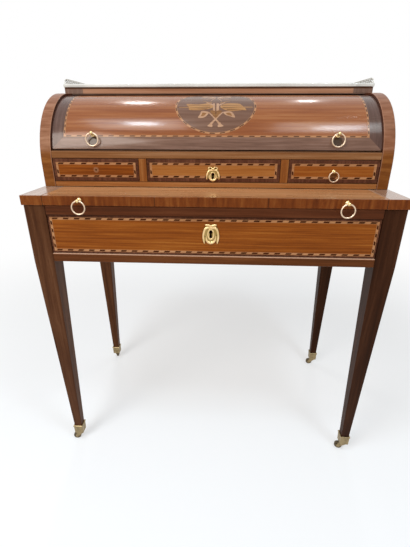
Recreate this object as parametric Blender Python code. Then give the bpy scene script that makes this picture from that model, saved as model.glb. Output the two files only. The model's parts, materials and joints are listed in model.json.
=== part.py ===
# Small cylinder-front writing desk: four tapered legs on brass casters, a long drawer,
# a pull-out writing slide, and an upper case with three small drawers under a rigid quarter-round fall.
# Metres, +Z up, -Y is the front. The origin is on the floor under the middle of the desk.

import bmesh
import bpy
from math import acos, asin, cos, degrees, pi, radians, sin
from mathutils import Vector

for old in list(bpy.data.objects):
    bpy.data.objects.remove(old, do_unlink=True)

# Clearances
SEAT = 0.0003
RUN = 0.0006
FRONT_GAP = 0.0009

# Table top and writing slide
TOP_WIDTH = 0.846
TOP_DEPTH = 0.460
TOP_THICK = 0.022
TOP_HEIGHT = 0.750
END_WIDTH = 0.049
SLIDE_DEPTH = 0.400
LEATHER_FRONT = 0.124
LEATHER_MARGIN = 0.056
LEATHER_RECESS = 0.0008

# Legs
LEG_SIDE = 0.048
LEG_FOOT = 0.0205
LEG_INSET_X = 0.003
LEG_INSET_Y = 0.004
LEG_EDGE = 0.0012

# Aprons and front rails
APRON_BOTTOM = 0.594
APRON_THICK = 0.018
APRON_SET_BACK = 0.002
LOWER_RAIL_HEIGHT = 0.0205
UPPER_RAIL_HEIGHT = 0.0222
RAIL_DEPTH = 0.045
RUNNER_WIDTH = 0.020
RUNNER_HEIGHT = 0.012
GUIDE_HEIGHT = 0.020

# Long drawer
DRAWER_RECESS = 0.003
LONG_FRONT_THICK = 0.018
LONG_TRAY_HEIGHT = 0.074
LONG_WALL = 0.010
LONG_BOTTOM = 0.006
LONG_TRAY_BACK_ROOM = 0.014

# Casters
SABOT_HEIGHT = 0.030
SABOT_WALL = 0.0016
SABOT_FLOOR = 0.005
SABOT_RIM = 0.0012
SABOT_RIM_HEIGHT = 0.005
WHEEL_DIAMETER = 0.022
WHEEL_WIDTH = 0.009
WHEEL_SIDES = 20
WHEEL_EDGE = 0.0015
WHEEL_TO_PLATE = 0.0022
CASTER_TRAIL = 0.011
AXLE_RADIUS = 0.0014
STEM_RADIUS = 0.0024
PLATE_RADIUS = 0.0085
PLATE_THICK = 0.003
CHEEK = 0.0018
FORK_EYE = 0.0045
CASTER_TURN = {"front_left": 8, "front_right": -20, "rear_left": -75, "rear_right": -12}

# Upper case
CASE_INSET = 0.0045
SIDE_THICK = 0.0265
CASE_FRONT = 0.118
CASE_BACK_INSET = 0.002
CASE_BACK_THICK = 0.008
BASE_THICK = 0.0134
SMALL_OPENING = 0.0535
FLOOR_THICK = 0.0175
CENTER_DRAWER_WIDTH = 0.322
DIVIDER_THICK = 0.0185
CASE_EDGE = 0.001
DRAWER_EDGE = 0.0005
CHAMFER_ANGLE = 40

# Small drawers
SMALL_RECESS = 0.0015
SMALL_FRONT_THICK = 0.014
SMALL_TRAY_HEIGHT = 0.042
SMALL_WALL = 0.007
SMALL_BOTTOM = 0.004
SMALL_TRAY_BACK_ROOM = 0.016
PULL_HOLE = 0.0042

# Cylinder fall
AXIS_RISE = 0.053
PROFILE_RADIUS = 0.165
FALL_RECESS = 0.002
FALL_THICK = 0.014
FALL_END_GAP = 0.0012
FALL_FOOT_GAP = 0.0025
FALL_TOP_ANGLE = 97
FALL_OPENING = 60
ARC_STEP = 3
TONGUE_THICK = 0.006
TONGUE_LENGTH = 0.005
GROOVE_CLEAR = 0.0005
GROOVE_BOTTOM_GAP = 0.0006
GROOVE_END_GAP = 0.0005

# Frieze, marble and gallery
FRIEZE_HEIGHT = 0.015
MARBLE_INSET = 0.0055
MARBLE_SET_BACK = 0.015
MARBLE_THICK = 0.0088
MARBLE_EDGE = 0.0015
FRIEZE_INSET = 0.002
GALLERY_INSET = 0.004
GALLERY_HEIGHT = 0.0138
GALLERY_THICK = 0.0014
GALLERY_PITCH = 0.010
GALLERY_RAMP = 0.026
GALLERY_LIP = 0.004
GALLERY_RAIL = 0.0016
LOZENGE_WIDE = 0.0026
LOZENGE_TALL = 0.0033

# Pigeonholes behind the fall
NEST_CELLS = 6
NEST_FRONT = 0.030
NEST_BACK = 0.104
NEST_HEIGHT = 0.066
NEST_WALL = 0.006
NEST_BASE = 0.004
NEST_SIDE_GAP = 0.006

# Ring pulls
RING_RADIUS = 0.0145
RING_WIRE = 0.0016
RING_STEPS = 20
WIRE_STEPS = 8
BOSS_FLANGE = 0.0050
BOSS_FLANGE_THICK = 0.0014
BOSS_COVE = 0.0038
BOSS_COVE_HEIGHT = 0.0022
BOSS_NECK = 0.0028
BOSS_NECK_HEIGHT = 0.0035
BOSS_BALL = 0.0042
BOSS_TIP = 0.0009
BOSS_EYE_HEIGHT = 0.0113
BOSS_EYE = 0.0025
BOSS_STEPS = 16
BALL_STEPS = 6
SMALL_PULL_SCALE = 0.78
PULL_INSET = 0.134
SLIDE_PULL_HEIGHT = 0.741
FALL_PULL_ANGLE = 24.2

# Key plates. Heights in a plate are measured from the middle of the keyhole's round head.
PLATE_GAUGE = 0.0012
PLATE_RELIEF = 0.0012
PLATE_MARGIN = 0.0007
PLATE_BAND = 0.0040
PLATE_TAIL = 0.0075
PLATE_RIM = 0.0024
PLATE_STEP = 15
SWAG_START = 62
COLLAR = 0.0030
BOW_LOOP = 0.0033
BOW_TILT = 12
KNOT = (0.0028, 0.0055)
LONG_PLATE = {
    "key_head": 0.0040,
    "key_slot": 0.0046,
    "key_drop": 0.0141,
    "half": (0.0194, 0.0220),
    "middle": -0.0104,
    "oval": (0.0107, 0.0198),
    "oval_middle": -0.0088,
    "tail": (0.0143, -0.0287),
    "notch": (0.0098, -0.0212),
    "bow": 0.0155,
    "bow_half": 0.0119,
}
CENTER_PLATE = {
    "key_head": 0.0036,
    "key_slot": 0.0040,
    "key_drop": 0.0122,
    "half": (0.0170, 0.0125),
    "middle": -0.0010,
    "oval": (0.0089, 0.0132),
    "oval_middle": -0.0035,
    "tail": (0.0142, -0.0125),
    "notch": (0.0096, -0.0082),
    "bow": 0.0150,
    "bow_half": 0.0106,
}

# Locks
LONG_KEY_RISE = 0.0114
CENTER_KEY_RISE = -0.0089
LONG_LOCK = {
    "width": 0.056,
    "thick": 0.010,
    "below": 0.006,
    "bolt": 0.014,
    "bolt_thick": 0.005,
    "throw": 0.008,
}
CENTER_LOCK = {
    "width": 0.044,
    "thick": 0.008,
    "below": 0.002,
    "bolt": 0.010,
    "bolt_thick": 0.004,
    "throw": 0.006,
}
BOLT_HEIGHT = 0.013

# Places worked out from the sizes above
PULL_REACH = BOSS_EYE_HEIGHT + BOSS_BALL
PULL_X = TOP_WIDTH / 2 - PULL_INSET
FRONT = PULL_REACH - (TOP_DEPTH + PULL_REACH) / 2
BACK = FRONT + TOP_DEPTH
TOP_UNDER = TOP_HEIGHT - TOP_THICK
LEG_OUT_X = TOP_WIDTH / 2 - LEG_INSET_X
LEG_FRONT_Y = FRONT + LEG_INSET_Y
LEG_BACK_Y = BACK - LEG_INSET_Y
OPENING_HALF = LEG_OUT_X - LEG_SIDE
LOWER_TOP = APRON_BOTTOM + LOWER_RAIL_HEIGHT
UPPER_BOTTOM = TOP_UNDER - SEAT - UPPER_RAIL_HEIGHT
APRON_BACK_FRONT = LEG_BACK_Y - APRON_SET_BACK - APRON_THICK
AXLE_HEIGHT = WHEEL_DIAMETER / 2 * cos(pi / WHEEL_SIDES)
PLATE_BOTTOM = WHEEL_DIAMETER + WHEEL_TO_PLATE
SABOT_BOTTOM = PLATE_BOTTOM + PLATE_THICK + SEAT
LEG_BOTTOM = SABOT_BOTTOM + SABOT_FLOOR + SEAT

CASE_Y = FRONT + CASE_FRONT
CASE_BACK_Y = BACK - CASE_BACK_INSET
CASE_HALF = TOP_WIDTH / 2 - CASE_INSET
INNER_HALF = CASE_HALF - SIDE_THICK
CASE_BOTTOM = TOP_HEIGHT + SEAT
BACK_PANEL_Y = CASE_BACK_Y - CASE_BACK_THICK
BASE_BOTTOM = TOP_HEIGHT + RUN
BASE_TOP = BASE_BOTTOM + BASE_THICK
FLOOR_BOTTOM = BASE_TOP + SMALL_OPENING
FLOOR_TOP = FLOOR_BOTTOM + FLOOR_THICK
DIVIDER_IN = CENTER_DRAWER_WIDTH / 2
DIVIDER_OUT = DIVIDER_IN + DIVIDER_THICK

AXIS_Y = CASE_Y + PROFILE_RADIUS
AXIS_Z = TOP_HEIGHT + AXIS_RISE
CASE_TOP = AXIS_Z + PROFILE_RADIUS
FALL_OUT = PROFILE_RADIUS - FALL_RECESS
FALL_IN = FALL_OUT - FALL_THICK
FALL_HALF = INNER_HALF - FALL_END_GAP
FALL_FOOT_RISE = FLOOR_TOP + FALL_FOOT_GAP - AXIS_Z
FALL_FOOT_OUT = degrees(asin(FALL_FOOT_RISE / FALL_OUT))
FALL_FOOT_IN = degrees(asin(FALL_FOOT_RISE / FALL_IN))
TONGUE_MID = (FALL_OUT + FALL_IN) / 2
FRIEZE_BOTTOM = CASE_TOP + SEAT
MARBLE_BOTTOM = FRIEZE_BOTTOM + FRIEZE_HEIGHT + SEAT
MARBLE_TOP = MARBLE_BOTTOM + MARBLE_THICK
MARBLE_Y = AXIS_Y + MARBLE_SET_BACK
MARBLE_HALF = CASE_HALF - MARBLE_INSET
GALLERY_BOTTOM = MARBLE_TOP + SEAT

WOOD_DARK = ((0.075, 0.032, 0.016), 0.38, 0.0)
WOOD_TULIP = ((0.26, 0.105, 0.045), 0.32, 0.0)
WOOD_BAND = ((0.085, 0.035, 0.025), 0.34, 0.0)
WOOD_INSIDE = ((0.36, 0.22, 0.12), 0.55, 0.0)
BRASS = ((0.72, 0.52, 0.22), 0.28, 1.0)
IRON_WHEEL = ((0.10, 0.075, 0.05), 0.5, 0.6)
STEEL = ((0.42, 0.41, 0.39), 0.4, 1.0)
MARBLE = ((0.82, 0.80, 0.76), 0.2, 0.0)


def material(name, look):
    made = bpy.data.materials.new(name)
    made.use_nodes = True
    shader = made.node_tree.nodes["Principled BSDF"]
    colour, roughness, metallic = look
    shader.inputs["Base Color"].default_value = (*colour, 1.0)
    shader.inputs["Roughness"].default_value = roughness
    shader.inputs["Metallic"].default_value = metallic
    made.diffuse_color = (*colour, 1.0)
    return made


def add(name, mesh, look, place=(0, 0, 0), turn=None, parent=None):
    """One named piece, with its own material, placed by its location and rotation."""
    piece = bpy.data.objects.new(name, mesh)
    mesh.materials.clear()
    mesh.materials.append(material(name, look))
    bpy.context.scene.collection.objects.link(piece)
    piece.location = place
    if turn is not None:
        piece.rotation_euler = turn
    piece.parent = parent
    return piece


def helper(name, mesh, place=(0, 0, 0), turn=None):
    """A cutter, kept out of the model."""
    cutter = bpy.data.objects.new(name, mesh)
    bpy.context.scene.collection.objects.link(cutter)
    cutter.location = place
    if turn is not None:
        cutter.rotation_euler = turn
    cutter.hide_render = True
    cutter.display_type = "WIRE"
    return cutter


def empty(name, place):
    """A bare frame that marks a joint's axis."""
    frame = bpy.data.objects.new(name, None)
    bpy.context.scene.collection.objects.link(frame)
    frame.location = place
    return frame


def boolean(piece, cutter, operation="DIFFERENCE"):
    step = piece.modifiers.new(cutter.name, "BOOLEAN")
    step.operation = operation
    step.solver = "EXACT"
    step.object = cutter


def chamfer(piece, width):
    step = piece.modifiers.new("edge", "BEVEL")
    step.width = width
    step.segments = 1
    step.limit_method = "ANGLE"
    step.angle_limit = radians(CHAMFER_ANGLE)


def mesh_from(name, points, faces):
    mesh = bpy.data.meshes.new(name)
    mesh.from_pydata([tuple(p) for p in points], [], faces)
    built = bmesh.new()
    built.from_mesh(mesh)
    bmesh.ops.recalc_face_normals(built, faces=built.faces)
    built.to_mesh(mesh)
    built.free()
    return mesh


def smooth(mesh, angle=35):
    mesh.shade_smooth()
    mesh.set_sharp_from_angle(angle=radians(angle))
    return mesh


def loft(name, rings):
    """A closed skin over rings of equal count, with the first and last ring capped."""
    count = len(rings[0])
    points = [p for ring in rings for p in ring]
    faces = [list(range(count))[::-1]]
    for level in range(len(rings) - 1):
        for i in range(count):
            j = (i + 1) % count
            low = level * count
            faces.append([low + i, low + j, low + count + j, low + count + i])
    last = (len(rings) - 1) * count
    faces.append([last + i for i in range(count)])
    return mesh_from(name, points, faces)


def rectangle(x0, x1, y0, y1, z):
    return [Vector((x0, y0, z)), Vector((x1, y0, z)), Vector((x1, y1, z)), Vector((x0, y1, z))]


def block_mesh(name, x0, x1, y0, y1, z0, z1):
    return loft(name, [rectangle(x0, x1, y0, y1, z0), rectangle(x0, x1, y0, y1, z1)])


def board(name, x, y, z, look, edge=0.0):
    """A rectangular board given by its spans in X, Y and Z, with its origin at its middle."""
    middle = Vector([(span[0] + span[1]) / 2 for span in (x, y, z)])
    spans = [(span[0] - m, span[1] - m) for span, m in zip((x, y, z), middle)]
    piece = add(name, block_mesh(name, *spans[0], *spans[1], *spans[2]), look, middle)
    if edge:
        chamfer(piece, edge)
    return piece


def cut_box(piece, name, x, y, z):
    """Cuts a box given by its spans in the frame that the piece stands in."""
    boolean(piece, helper(name, block_mesh(name, *x, *y, *z)))


def prism(name, outline, spread, axis):
    """An outline carried along an axis, in (Y, Z) along X, (X, Z) along Y or (X, Y) along Z."""
    low, high = spread

    def put(pair, level):
        a, b = pair
        return {"X": (level, a, b), "Y": (a, level, b), "Z": (a, b, level)}[axis]

    return loft(name, [[put(p, low) for p in outline], [put(p, high) for p in outline]])


def oval_arc(centre, half, start, end, step):
    """Points along part of an ellipse, in degrees, both ends included."""
    count = max(1, round(abs(end - start) / step))
    angles = [radians(start + (end - start) * i / count) for i in range(count + 1)]
    return [(centre[0] + half[0] * cos(a), centre[1] + half[1] * sin(a)) for a in angles]


def arc(centre, radius, start, end, step=ARC_STEP):
    """Points along a round arc, in degrees, both ends included."""
    return oval_arc(centre, (radius, radius), start, end, step)


def ellipse(centre, half, tilt=0.0, step=PLATE_STEP):
    """Points round a whole ellipse, turned by a tilt in degrees."""
    lean = radians(tilt)
    found = []
    for x, z in oval_arc((0, 0), half, 0, 360 - step, step):
        across = x * cos(lean) - z * sin(lean)
        up = x * sin(lean) + z * cos(lean)
        found.append((centre[0] + across, centre[1] + up))
    return found


def turned(name, profile, steps):
    """A solid turned about Z from (radius, height) pairs, listed from the top down."""
    turns = [2 * pi * i / steps for i in range(steps)]
    rings = [[(radius * cos(a), radius * sin(a), height) for a in turns] for radius, height in profile]
    return smooth(loft(name, rings[::-1]))


def rod(name, radius, start, end, axis, steps=12):
    """A straight round bar along an axis."""
    turns = [2 * pi * (i + 0.5) / steps for i in range(steps)]
    ring = [(radius * cos(a), radius * sin(a)) for a in turns]
    return smooth(prism(name, ring, (start, end), axis))


def ring_mesh(name, radius, wire):
    """A round ring that hangs below its origin, in the XZ plane."""
    points = []
    faces = []
    for i in range(RING_STEPS):
        a = 2 * pi * i / RING_STEPS
        for j in range(WIRE_STEPS):
            b = 2 * pi * j / WIRE_STEPS
            out = radius + wire * cos(b)
            points.append((out * sin(a), wire * sin(b), out * cos(a) - radius))
    for i in range(RING_STEPS):
        for j in range(WIRE_STEPS):
            here = i * WIRE_STEPS
            there = (i + 1) % RING_STEPS * WIRE_STEPS
            k = (j + 1) % WIRE_STEPS
            faces.append([here + j, here + k, there + k, there + j])
    return smooth(mesh_from(name, points, faces), 80)


def boss_profile(scale):
    """Half outline of a ring pull's boss: flange, cove, neck and ball, from the tip down to the seat."""
    first = asin(BOSS_TIP / BOSS_BALL)
    last = pi - asin(BOSS_NECK / BOSS_BALL)
    outline = []
    for i in range(BALL_STEPS + 1):
        a = first + (last - first) * i / BALL_STEPS
        outline.append((BOSS_BALL * sin(a), BOSS_EYE_HEIGHT + BOSS_BALL * cos(a)))
    outline += [(BOSS_NECK, BOSS_NECK_HEIGHT), (BOSS_COVE, BOSS_COVE_HEIGHT)]
    outline.append((BOSS_FLANGE, BOSS_FLANGE_THICK))
    return [(r * scale, h * scale) for r, h in outline] + [(BOSS_FLANGE * scale, SEAT)]


def ring_pull(place, face, out_angle, scale=1.0, lean=0.0):
    """A boss standing out of a face, with an eye, and the ring that hangs in it.

    out_angle is the boss's rise above level, in degrees, and lean tips the ring's foot out."""
    outward = Vector((0, -cos(radians(out_angle)), sin(radians(out_angle))))
    turn = (radians(90 - out_angle), 0, 0)
    mesh = turned(place + "_boss", boss_profile(scale), BOSS_STEPS)
    boss = add(place + "_boss", mesh, BRASS, face, turn)
    eye_point = Vector(face) + outward * BOSS_EYE_HEIGHT * scale
    eye = rod(place + "_eye", BOSS_EYE * scale, -BOSS_FLANGE, BOSS_FLANGE, "X")
    boolean(boss, helper(place + "_eye", eye, eye_point))
    mesh = ring_mesh(place + "_ring", RING_RADIUS * scale, RING_WIRE * scale)
    add(place + "_ring", mesh, BRASS, eye_point, (-radians(lean), 0, 0))


def cup(name, outer, inner, look):
    """An open-topped tray. Outer and inner are (x0, x1, y0, y1, z0), and outer ends with the rim's height."""
    x0, x1, y0, y1, z0, rim = outer
    a0, a1, b0, b1, c0 = inner
    rings = [
        rectangle(x0, x1, y0, y1, z0),
        rectangle(x0, x1, y0, y1, rim),
        rectangle(a0, a1, b0, b1, rim),
        rectangle(a0, a1, b0, b1, c0),
    ]
    middle = Vector(((x0 + x1) / 2, y0, z0))
    return add(name, loft(name, [[p - middle for p in ring] for ring in rings]), look, middle)


def square_ring(middle, side, z):
    half = side / 2
    return rectangle(middle[0] - half, middle[0] + half, middle[1] - half, middle[1] + half, z)


def leg_side_at(z):
    """Side of the square leg at a height below the apron."""
    share = (APRON_BOTTOM - z) / (APRON_BOTTOM - LEG_BOTTOM)
    return LEG_SIDE + (LEG_FOOT - LEG_SIDE) * share


def build_leg(corner, x, y):
    """A square tapered leg, its brass sabot, and a caster that swivels in the sabot's floor."""
    top = TOP_UNDER - SEAT
    levels = [(LEG_FOOT, LEG_BOTTOM), (LEG_SIDE, APRON_BOTTOM), (LEG_SIDE, top)]
    mesh = loft("leg_" + corner, [square_ring((0, 0), side, z) for side, z in levels])
    chamfer(add("leg_" + corner, mesh, WOOD_DARK, (x, y, 0)), LEG_EDGE)

    sabot_top = SABOT_BOTTOM + SABOT_HEIGHT
    floor = SABOT_BOTTOM + SABOT_FLOOR
    wall = 2 * (SABOT_WALL + SEAT)
    rim_low = sabot_top - SABOT_RIM_HEIGHT
    rings = [
        (leg_side_at(floor) + wall, SABOT_BOTTOM),
        (leg_side_at(rim_low) + wall, rim_low),
        (leg_side_at(rim_low) + wall + 2 * SABOT_RIM, rim_low + SABOT_RIM),
        (leg_side_at(sabot_top) + wall + 2 * SABOT_RIM, sabot_top - SABOT_RIM),
        (leg_side_at(sabot_top) + wall, sabot_top),
        (leg_side_at(sabot_top) + 2 * SEAT, sabot_top),
        (leg_side_at(floor) + 2 * SEAT, floor),
    ]
    mesh = loft("sabot_" + corner, [square_ring((0, 0), side, z) for side, z in rings])
    sabot = add("sabot_" + corner, mesh, BRASS, (x, y, 0))
    hole = rod("stem_hole_" + corner, STEM_RADIUS + SEAT, SABOT_BOTTOM - PLATE_THICK, floor + SEAT, "Z")
    boolean(sabot, helper("stem_hole_" + corner, hole, (x, y, 0)))

    swivel = empty("swivel_" + corner, (x, y, 0))
    swivel.rotation_euler = (0, 0, radians(CASTER_TURN[corner]))
    build_caster(corner, swivel, floor)


def build_caster(corner, swivel, floor):
    """Fork and wheel, made trailing towards -X of the swivel's own frame."""
    plate_top = PLATE_BOTTOM + PLATE_THICK
    outer = WHEEL_WIDTH / 2 + RUN + CHEEK
    eye = arc((-CASTER_TRAIL, AXLE_HEIGHT), FORK_EYE, 150, 330, 30)
    outline = [(-PLATE_RADIUS, plate_top)] + eye + [(PLATE_RADIUS, PLATE_BOTTOM), (PLATE_RADIUS, plate_top)]
    fork = add("caster_fork_" + corner, prism("fork", outline, (-outer, outer), "Y"), BRASS, parent=swivel)
    slot_half = WHEEL_WIDTH / 2 + RUN
    reach = CASTER_TRAIL + WHEEL_DIAMETER
    slot_mesh = block_mesh("slot", -reach, reach, -slot_half, slot_half, -FORK_EYE, PLATE_BOTTOM)
    slot = helper("fork_slot_" + corner, slot_mesh)
    slot.parent = swivel
    boolean(fork, slot)
    axle = helper("axle_" + corner, rod("axle", AXLE_RADIUS, -outer + SEAT, outer - SEAT, "Y"))
    axle.location = (-CASTER_TRAIL, 0, AXLE_HEIGHT)
    axle.parent = swivel
    boolean(fork, axle, "UNION")
    stem = helper("stem_" + corner, rod("stem", STEM_RADIUS, plate_top - PLATE_THICK / 2, floor - SEAT, "Z"))
    stem.parent = swivel
    boolean(fork, stem, "UNION")

    name = "caster_wheel_" + corner
    rim = WHEEL_DIAMETER / 2
    half = WHEEL_WIDTH / 2
    tread = half - WHEEL_EDGE
    levels = [(-half, rim - WHEEL_EDGE), (-tread, rim), (tread, rim), (half, rim - WHEEL_EDGE)]
    rings = []
    for level, radius in levels:
        angles = [2 * pi * (i + 0.5) / WHEEL_SIDES for i in range(WHEEL_SIDES)]
        rings.append([(radius * sin(a), level, -radius * cos(a)) for a in angles])
    wheel = add(name, loft(name, rings), IRON_WHEEL, (-CASTER_TRAIL, 0, AXLE_HEIGHT), parent=swivel)
    bore = helper("bore_" + corner, rod("bore", AXLE_RADIUS + SEAT, -WHEEL_WIDTH, WHEEL_WIDTH, "Y"))
    bore.location = wheel.location
    bore.parent = swivel
    boolean(wheel, bore)


def build_legs():
    x = LEG_OUT_X - LEG_SIDE / 2
    rows = {"front": LEG_FRONT_Y + LEG_SIDE / 2, "rear": LEG_BACK_Y - LEG_SIDE / 2}
    for row, y in rows.items():
        for side, sign in (("left", -1), ("right", 1)):
            build_leg(row + "_" + side, sign * x, y)


def build_aprons():
    """Side aprons with the drawer's runner, guide and kicker, the back apron, and the two front rails."""
    top = TOP_UNDER - SEAT
    out = LEG_OUT_X - APRON_SET_BACK
    panel = out - APRON_THICK
    bearing = OPENING_HALF - RUNNER_WIDTH
    outline = [
        (out, APRON_BOTTOM),
        (out, top),
        (bearing, top),
        (bearing, UPPER_BOTTOM),
        (panel, UPPER_BOTTOM),
        (panel, LOWER_TOP + GUIDE_HEIGHT),
        (OPENING_HALF, LOWER_TOP + GUIDE_HEIGHT),
        (OPENING_HALF, LOWER_TOP),
        (bearing, LOWER_TOP),
        (bearing, LOWER_TOP - RUNNER_HEIGHT),
        (panel, LOWER_TOP - RUNNER_HEIGHT),
        (panel, APRON_BOTTOM),
    ]
    span = (LEG_FRONT_Y + LEG_SIDE + SEAT, LEG_BACK_Y - LEG_SIDE - SEAT)
    for side, sign in (("left", -1), ("right", 1)):
        mesh = prism("apron_" + side, [(sign * x, z) for x, z in outline], span, "Y")
        add("apron_" + side, mesh, WOOD_TULIP)

    x = (SEAT - OPENING_HALF, OPENING_HALF - SEAT)
    back = (APRON_BACK_FRONT, APRON_BACK_FRONT + APRON_THICK)
    board("apron_back", x, back, (APRON_BOTTOM, TOP_HEIGHT), WOOD_DARK, CASE_EDGE)

    y = (LEG_FRONT_Y, LEG_FRONT_Y + RAIL_DEPTH)
    board("rail_lower", x, y, (APRON_BOTTOM, LOWER_TOP), WOOD_TULIP, CASE_EDGE)
    upper = board("rail_upper", x, y, (UPPER_BOTTOM, top), WOOD_DARK, CASE_EDGE)
    front_back = LEG_FRONT_Y + DRAWER_RECESS + LONG_FRONT_THICK
    cut_bolt_mortise(upper, "long_mortise", LONG_LOCK, front_back, UPPER_BOTTOM)


def cut_bolt_mortise(piece, name, lock, front_back, under):
    """The pocket over a lock into which its bolt rises."""
    half = lock["bolt"] / 2 + RUN
    mid = bolt_middle(lock, front_back)
    y = (mid - lock["bolt_thick"] / 2 - RUN, mid + lock["bolt_thick"] / 2 + RUN)
    cut_box(piece, name, (-half, half), y, (under - CASE_EDGE, under + lock["throw"] + RUN))


def bolt_middle(lock, front_back):
    return front_back - lock["thick"] / 2


def build_table_top():
    """The two fixed ends of the table top, and the writing slide between them."""
    z = (TOP_UNDER, TOP_HEIGHT)
    inner = TOP_WIDTH / 2 - END_WIDTH
    board("table_end_left", (-TOP_WIDTH / 2, -inner), (FRONT, BACK), z, WOOD_TULIP, CASE_EDGE)
    board("table_end_right", (inner, TOP_WIDTH / 2), (FRONT, BACK), z, WOOD_TULIP, CASE_EDGE)

    half = inner - RUN
    bottom = TOP_UNDER + SEAT
    y = (FRONT, FRONT + SLIDE_DEPTH)
    slide = board("writing_slide", (-half, half), y, (bottom, TOP_HEIGHT), WOOD_TULIP, CASE_EDGE)
    x = (LEATHER_MARGIN - half, half - LEATHER_MARGIN)
    y = (FRONT + LEATHER_FRONT, FRONT + SLIDE_DEPTH - LEATHER_MARGIN)
    cut_box(slide, "leather_bed", x, y, (TOP_HEIGHT - LEATHER_RECESS, TOP_HEIGHT + LEATHER_MARGIN))
    for side, sign in (("left", -1), ("right", 1)):
        ring_pull("slide_" + side, (sign * PULL_X, FRONT, SLIDE_PULL_HEIGHT), 0)


def cut_keyhole(piece, name, plate, z, y):
    """A round head over a slot, cut along Y."""
    half = plate["key_slot"] / 2
    spread = degrees(asin(half / plate["key_head"]))
    head = arc((0, z), plate["key_head"], spread - 90, 270 - spread, 30)
    foot = z - plate["key_drop"]
    boolean(piece, helper(name, prism(name, head + [(-half, foot), (half, foot)], y, "Y")))


def build_lock(name, lock, plate, front, front_back, top, key_z):
    """A lock let into the back of a drawer front, open upwards for its bolt."""
    half = lock["width"] / 2
    low = key_z - plate["key_drop"] - lock["below"]
    y = (front_back - lock["thick"], front_back)
    pocket_z = (low - SEAT, top + SEAT + CASE_EDGE)
    cut_box(front, name + "_pocket", (-half - SEAT, half + SEAT), (y[0] - SEAT, y[1] + SEAT), pocket_z)

    case = board(name, (-half, half), y, (low, top), BRASS)
    mid = bolt_middle(lock, front_back)
    bolt_y = (mid - lock["bolt_thick"] / 2, mid + lock["bolt_thick"] / 2)
    bolt_half = lock["bolt"] / 2
    bolt_low = top - BOLT_HEIGHT
    slot_x = (-bolt_half - SEAT, bolt_half + SEAT)
    slot_y = (bolt_y[0] - SEAT, bolt_y[1] + SEAT)
    cut_box(case, name + "_slot", slot_x, slot_y, (bolt_low - SEAT, top + SEAT))
    keyway = (y[0] - SEAT, (y[0] + slot_y[0]) / 2)
    cut_keyhole(case, name + "_keyway", plate, key_z, keyway)
    board(name + "_bolt", (-bolt_half, bolt_half), bolt_y, (bolt_low, top), STEEL)


def swag_end(plate):
    """Angle on the plate's outer ellipse at which the swag leaves it for its tail."""
    return degrees(asin((plate["tail"][1] + PLATE_TAIL - plate["middle"]) / plate["half"][1]))


def inset(half, width):
    return (half[0] - width, half[1] - width)


def plate_outline(plate):
    """Outline of a key plate: swags that end in tails, with the foot of the oval between them."""
    drop = plate["notch"][1] - PLATE_BAND / 2 - plate["oval_middle"]
    foot = degrees(asin(drop / plate["oval"][1]))
    right = oval_arc((0, plate["middle"]), plate["half"], 90, swag_end(plate), PLATE_STEP)
    right += [plate["tail"], plate["notch"]]
    right += oval_arc((0, plate["oval_middle"]), plate["oval"], foot, -90, PLATE_STEP)
    return right + [(-x, z) for x, z in right[-2:0:-1]]


def swag_outline(plate, sign):
    """A raised ribbon that follows the plate's edge and tapers into its tail."""
    centre = (0, plate["middle"])
    outer = inset(plate["half"], PLATE_MARGIN)
    inner = inset(plate["half"], PLATE_MARGIN + PLATE_BAND)
    end = swag_end(plate)
    band = oval_arc(centre, outer, SWAG_START, end, PLATE_STEP)
    band.append((plate["tail"][0], plate["tail"][1] + 2 * PLATE_MARGIN))
    band += oval_arc(centre, inner, end, SWAG_START, PLATE_STEP)
    return [(sign * x, z) for x, z in band]


def build_escutcheon(name, plate, y, key_z):
    """A cast key plate: two ribbon swags, a dished oval round the keyhole and a bow on top."""
    place = (0, y - SEAT, key_z)
    piece = add(name, prism(name, plate_outline(plate), (-PLATE_GAUGE, 0), "Y"), BRASS, place)

    def raise_part(part, outline, relief):
        """Each part of the relief stands to a height of its own."""
        spread = (-PLATE_GAUGE - relief * PLATE_RELIEF, -PLATE_GAUGE / 2)
        boolean(piece, helper(f"{name}_{part}", prism(part, outline, spread, "Y"), place), "UNION")

    raise_part("swag_left", swag_outline(plate, -1), 0.85)
    raise_part("swag_right", swag_outline(plate, 1), 0.85)
    oval_centre = (0, plate["oval_middle"])
    raise_part("oval", ellipse(oval_centre, inset(plate["oval"], PLATE_MARGIN)), 1.0)
    dish = ellipse(oval_centre, inset(plate["oval"], PLATE_RIM + PLATE_MARGIN))
    depth = (-PLATE_GAUGE - 2 * PLATE_RELIEF, -PLATE_GAUGE - PLATE_RELIEF / 4)
    boolean(piece, helper(name + "_dish", prism("dish", dish, depth, "Y"), place))
    loop = plate["bow_half"] / 2
    raise_part("bow_left", ellipse((-loop, plate["bow"]), (loop, BOW_LOOP), -BOW_TILT), 0.65)
    raise_part("bow_right", ellipse((loop, plate["bow"]), (loop, BOW_LOOP), BOW_TILT), 0.65)
    raise_part("knot", ellipse((0, plate["bow"] + BOW_LOOP - KNOT[1]), KNOT), 0.75)
    collar_half = (plate["key_head"] + COLLAR, (plate["key_head"] + plate["key_drop"]) / 2 + COLLAR)
    collar_middle = (plate["key_head"] - plate["key_drop"]) / 2
    raise_part("collar", ellipse((0, collar_middle), collar_half), 0.5)
    cut_keyhole(piece, name + "_keyhole", plate, key_z, (y - PLATE_GAUGE - 2 * PLATE_RELIEF, y + PLATE_GAUGE))


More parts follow.
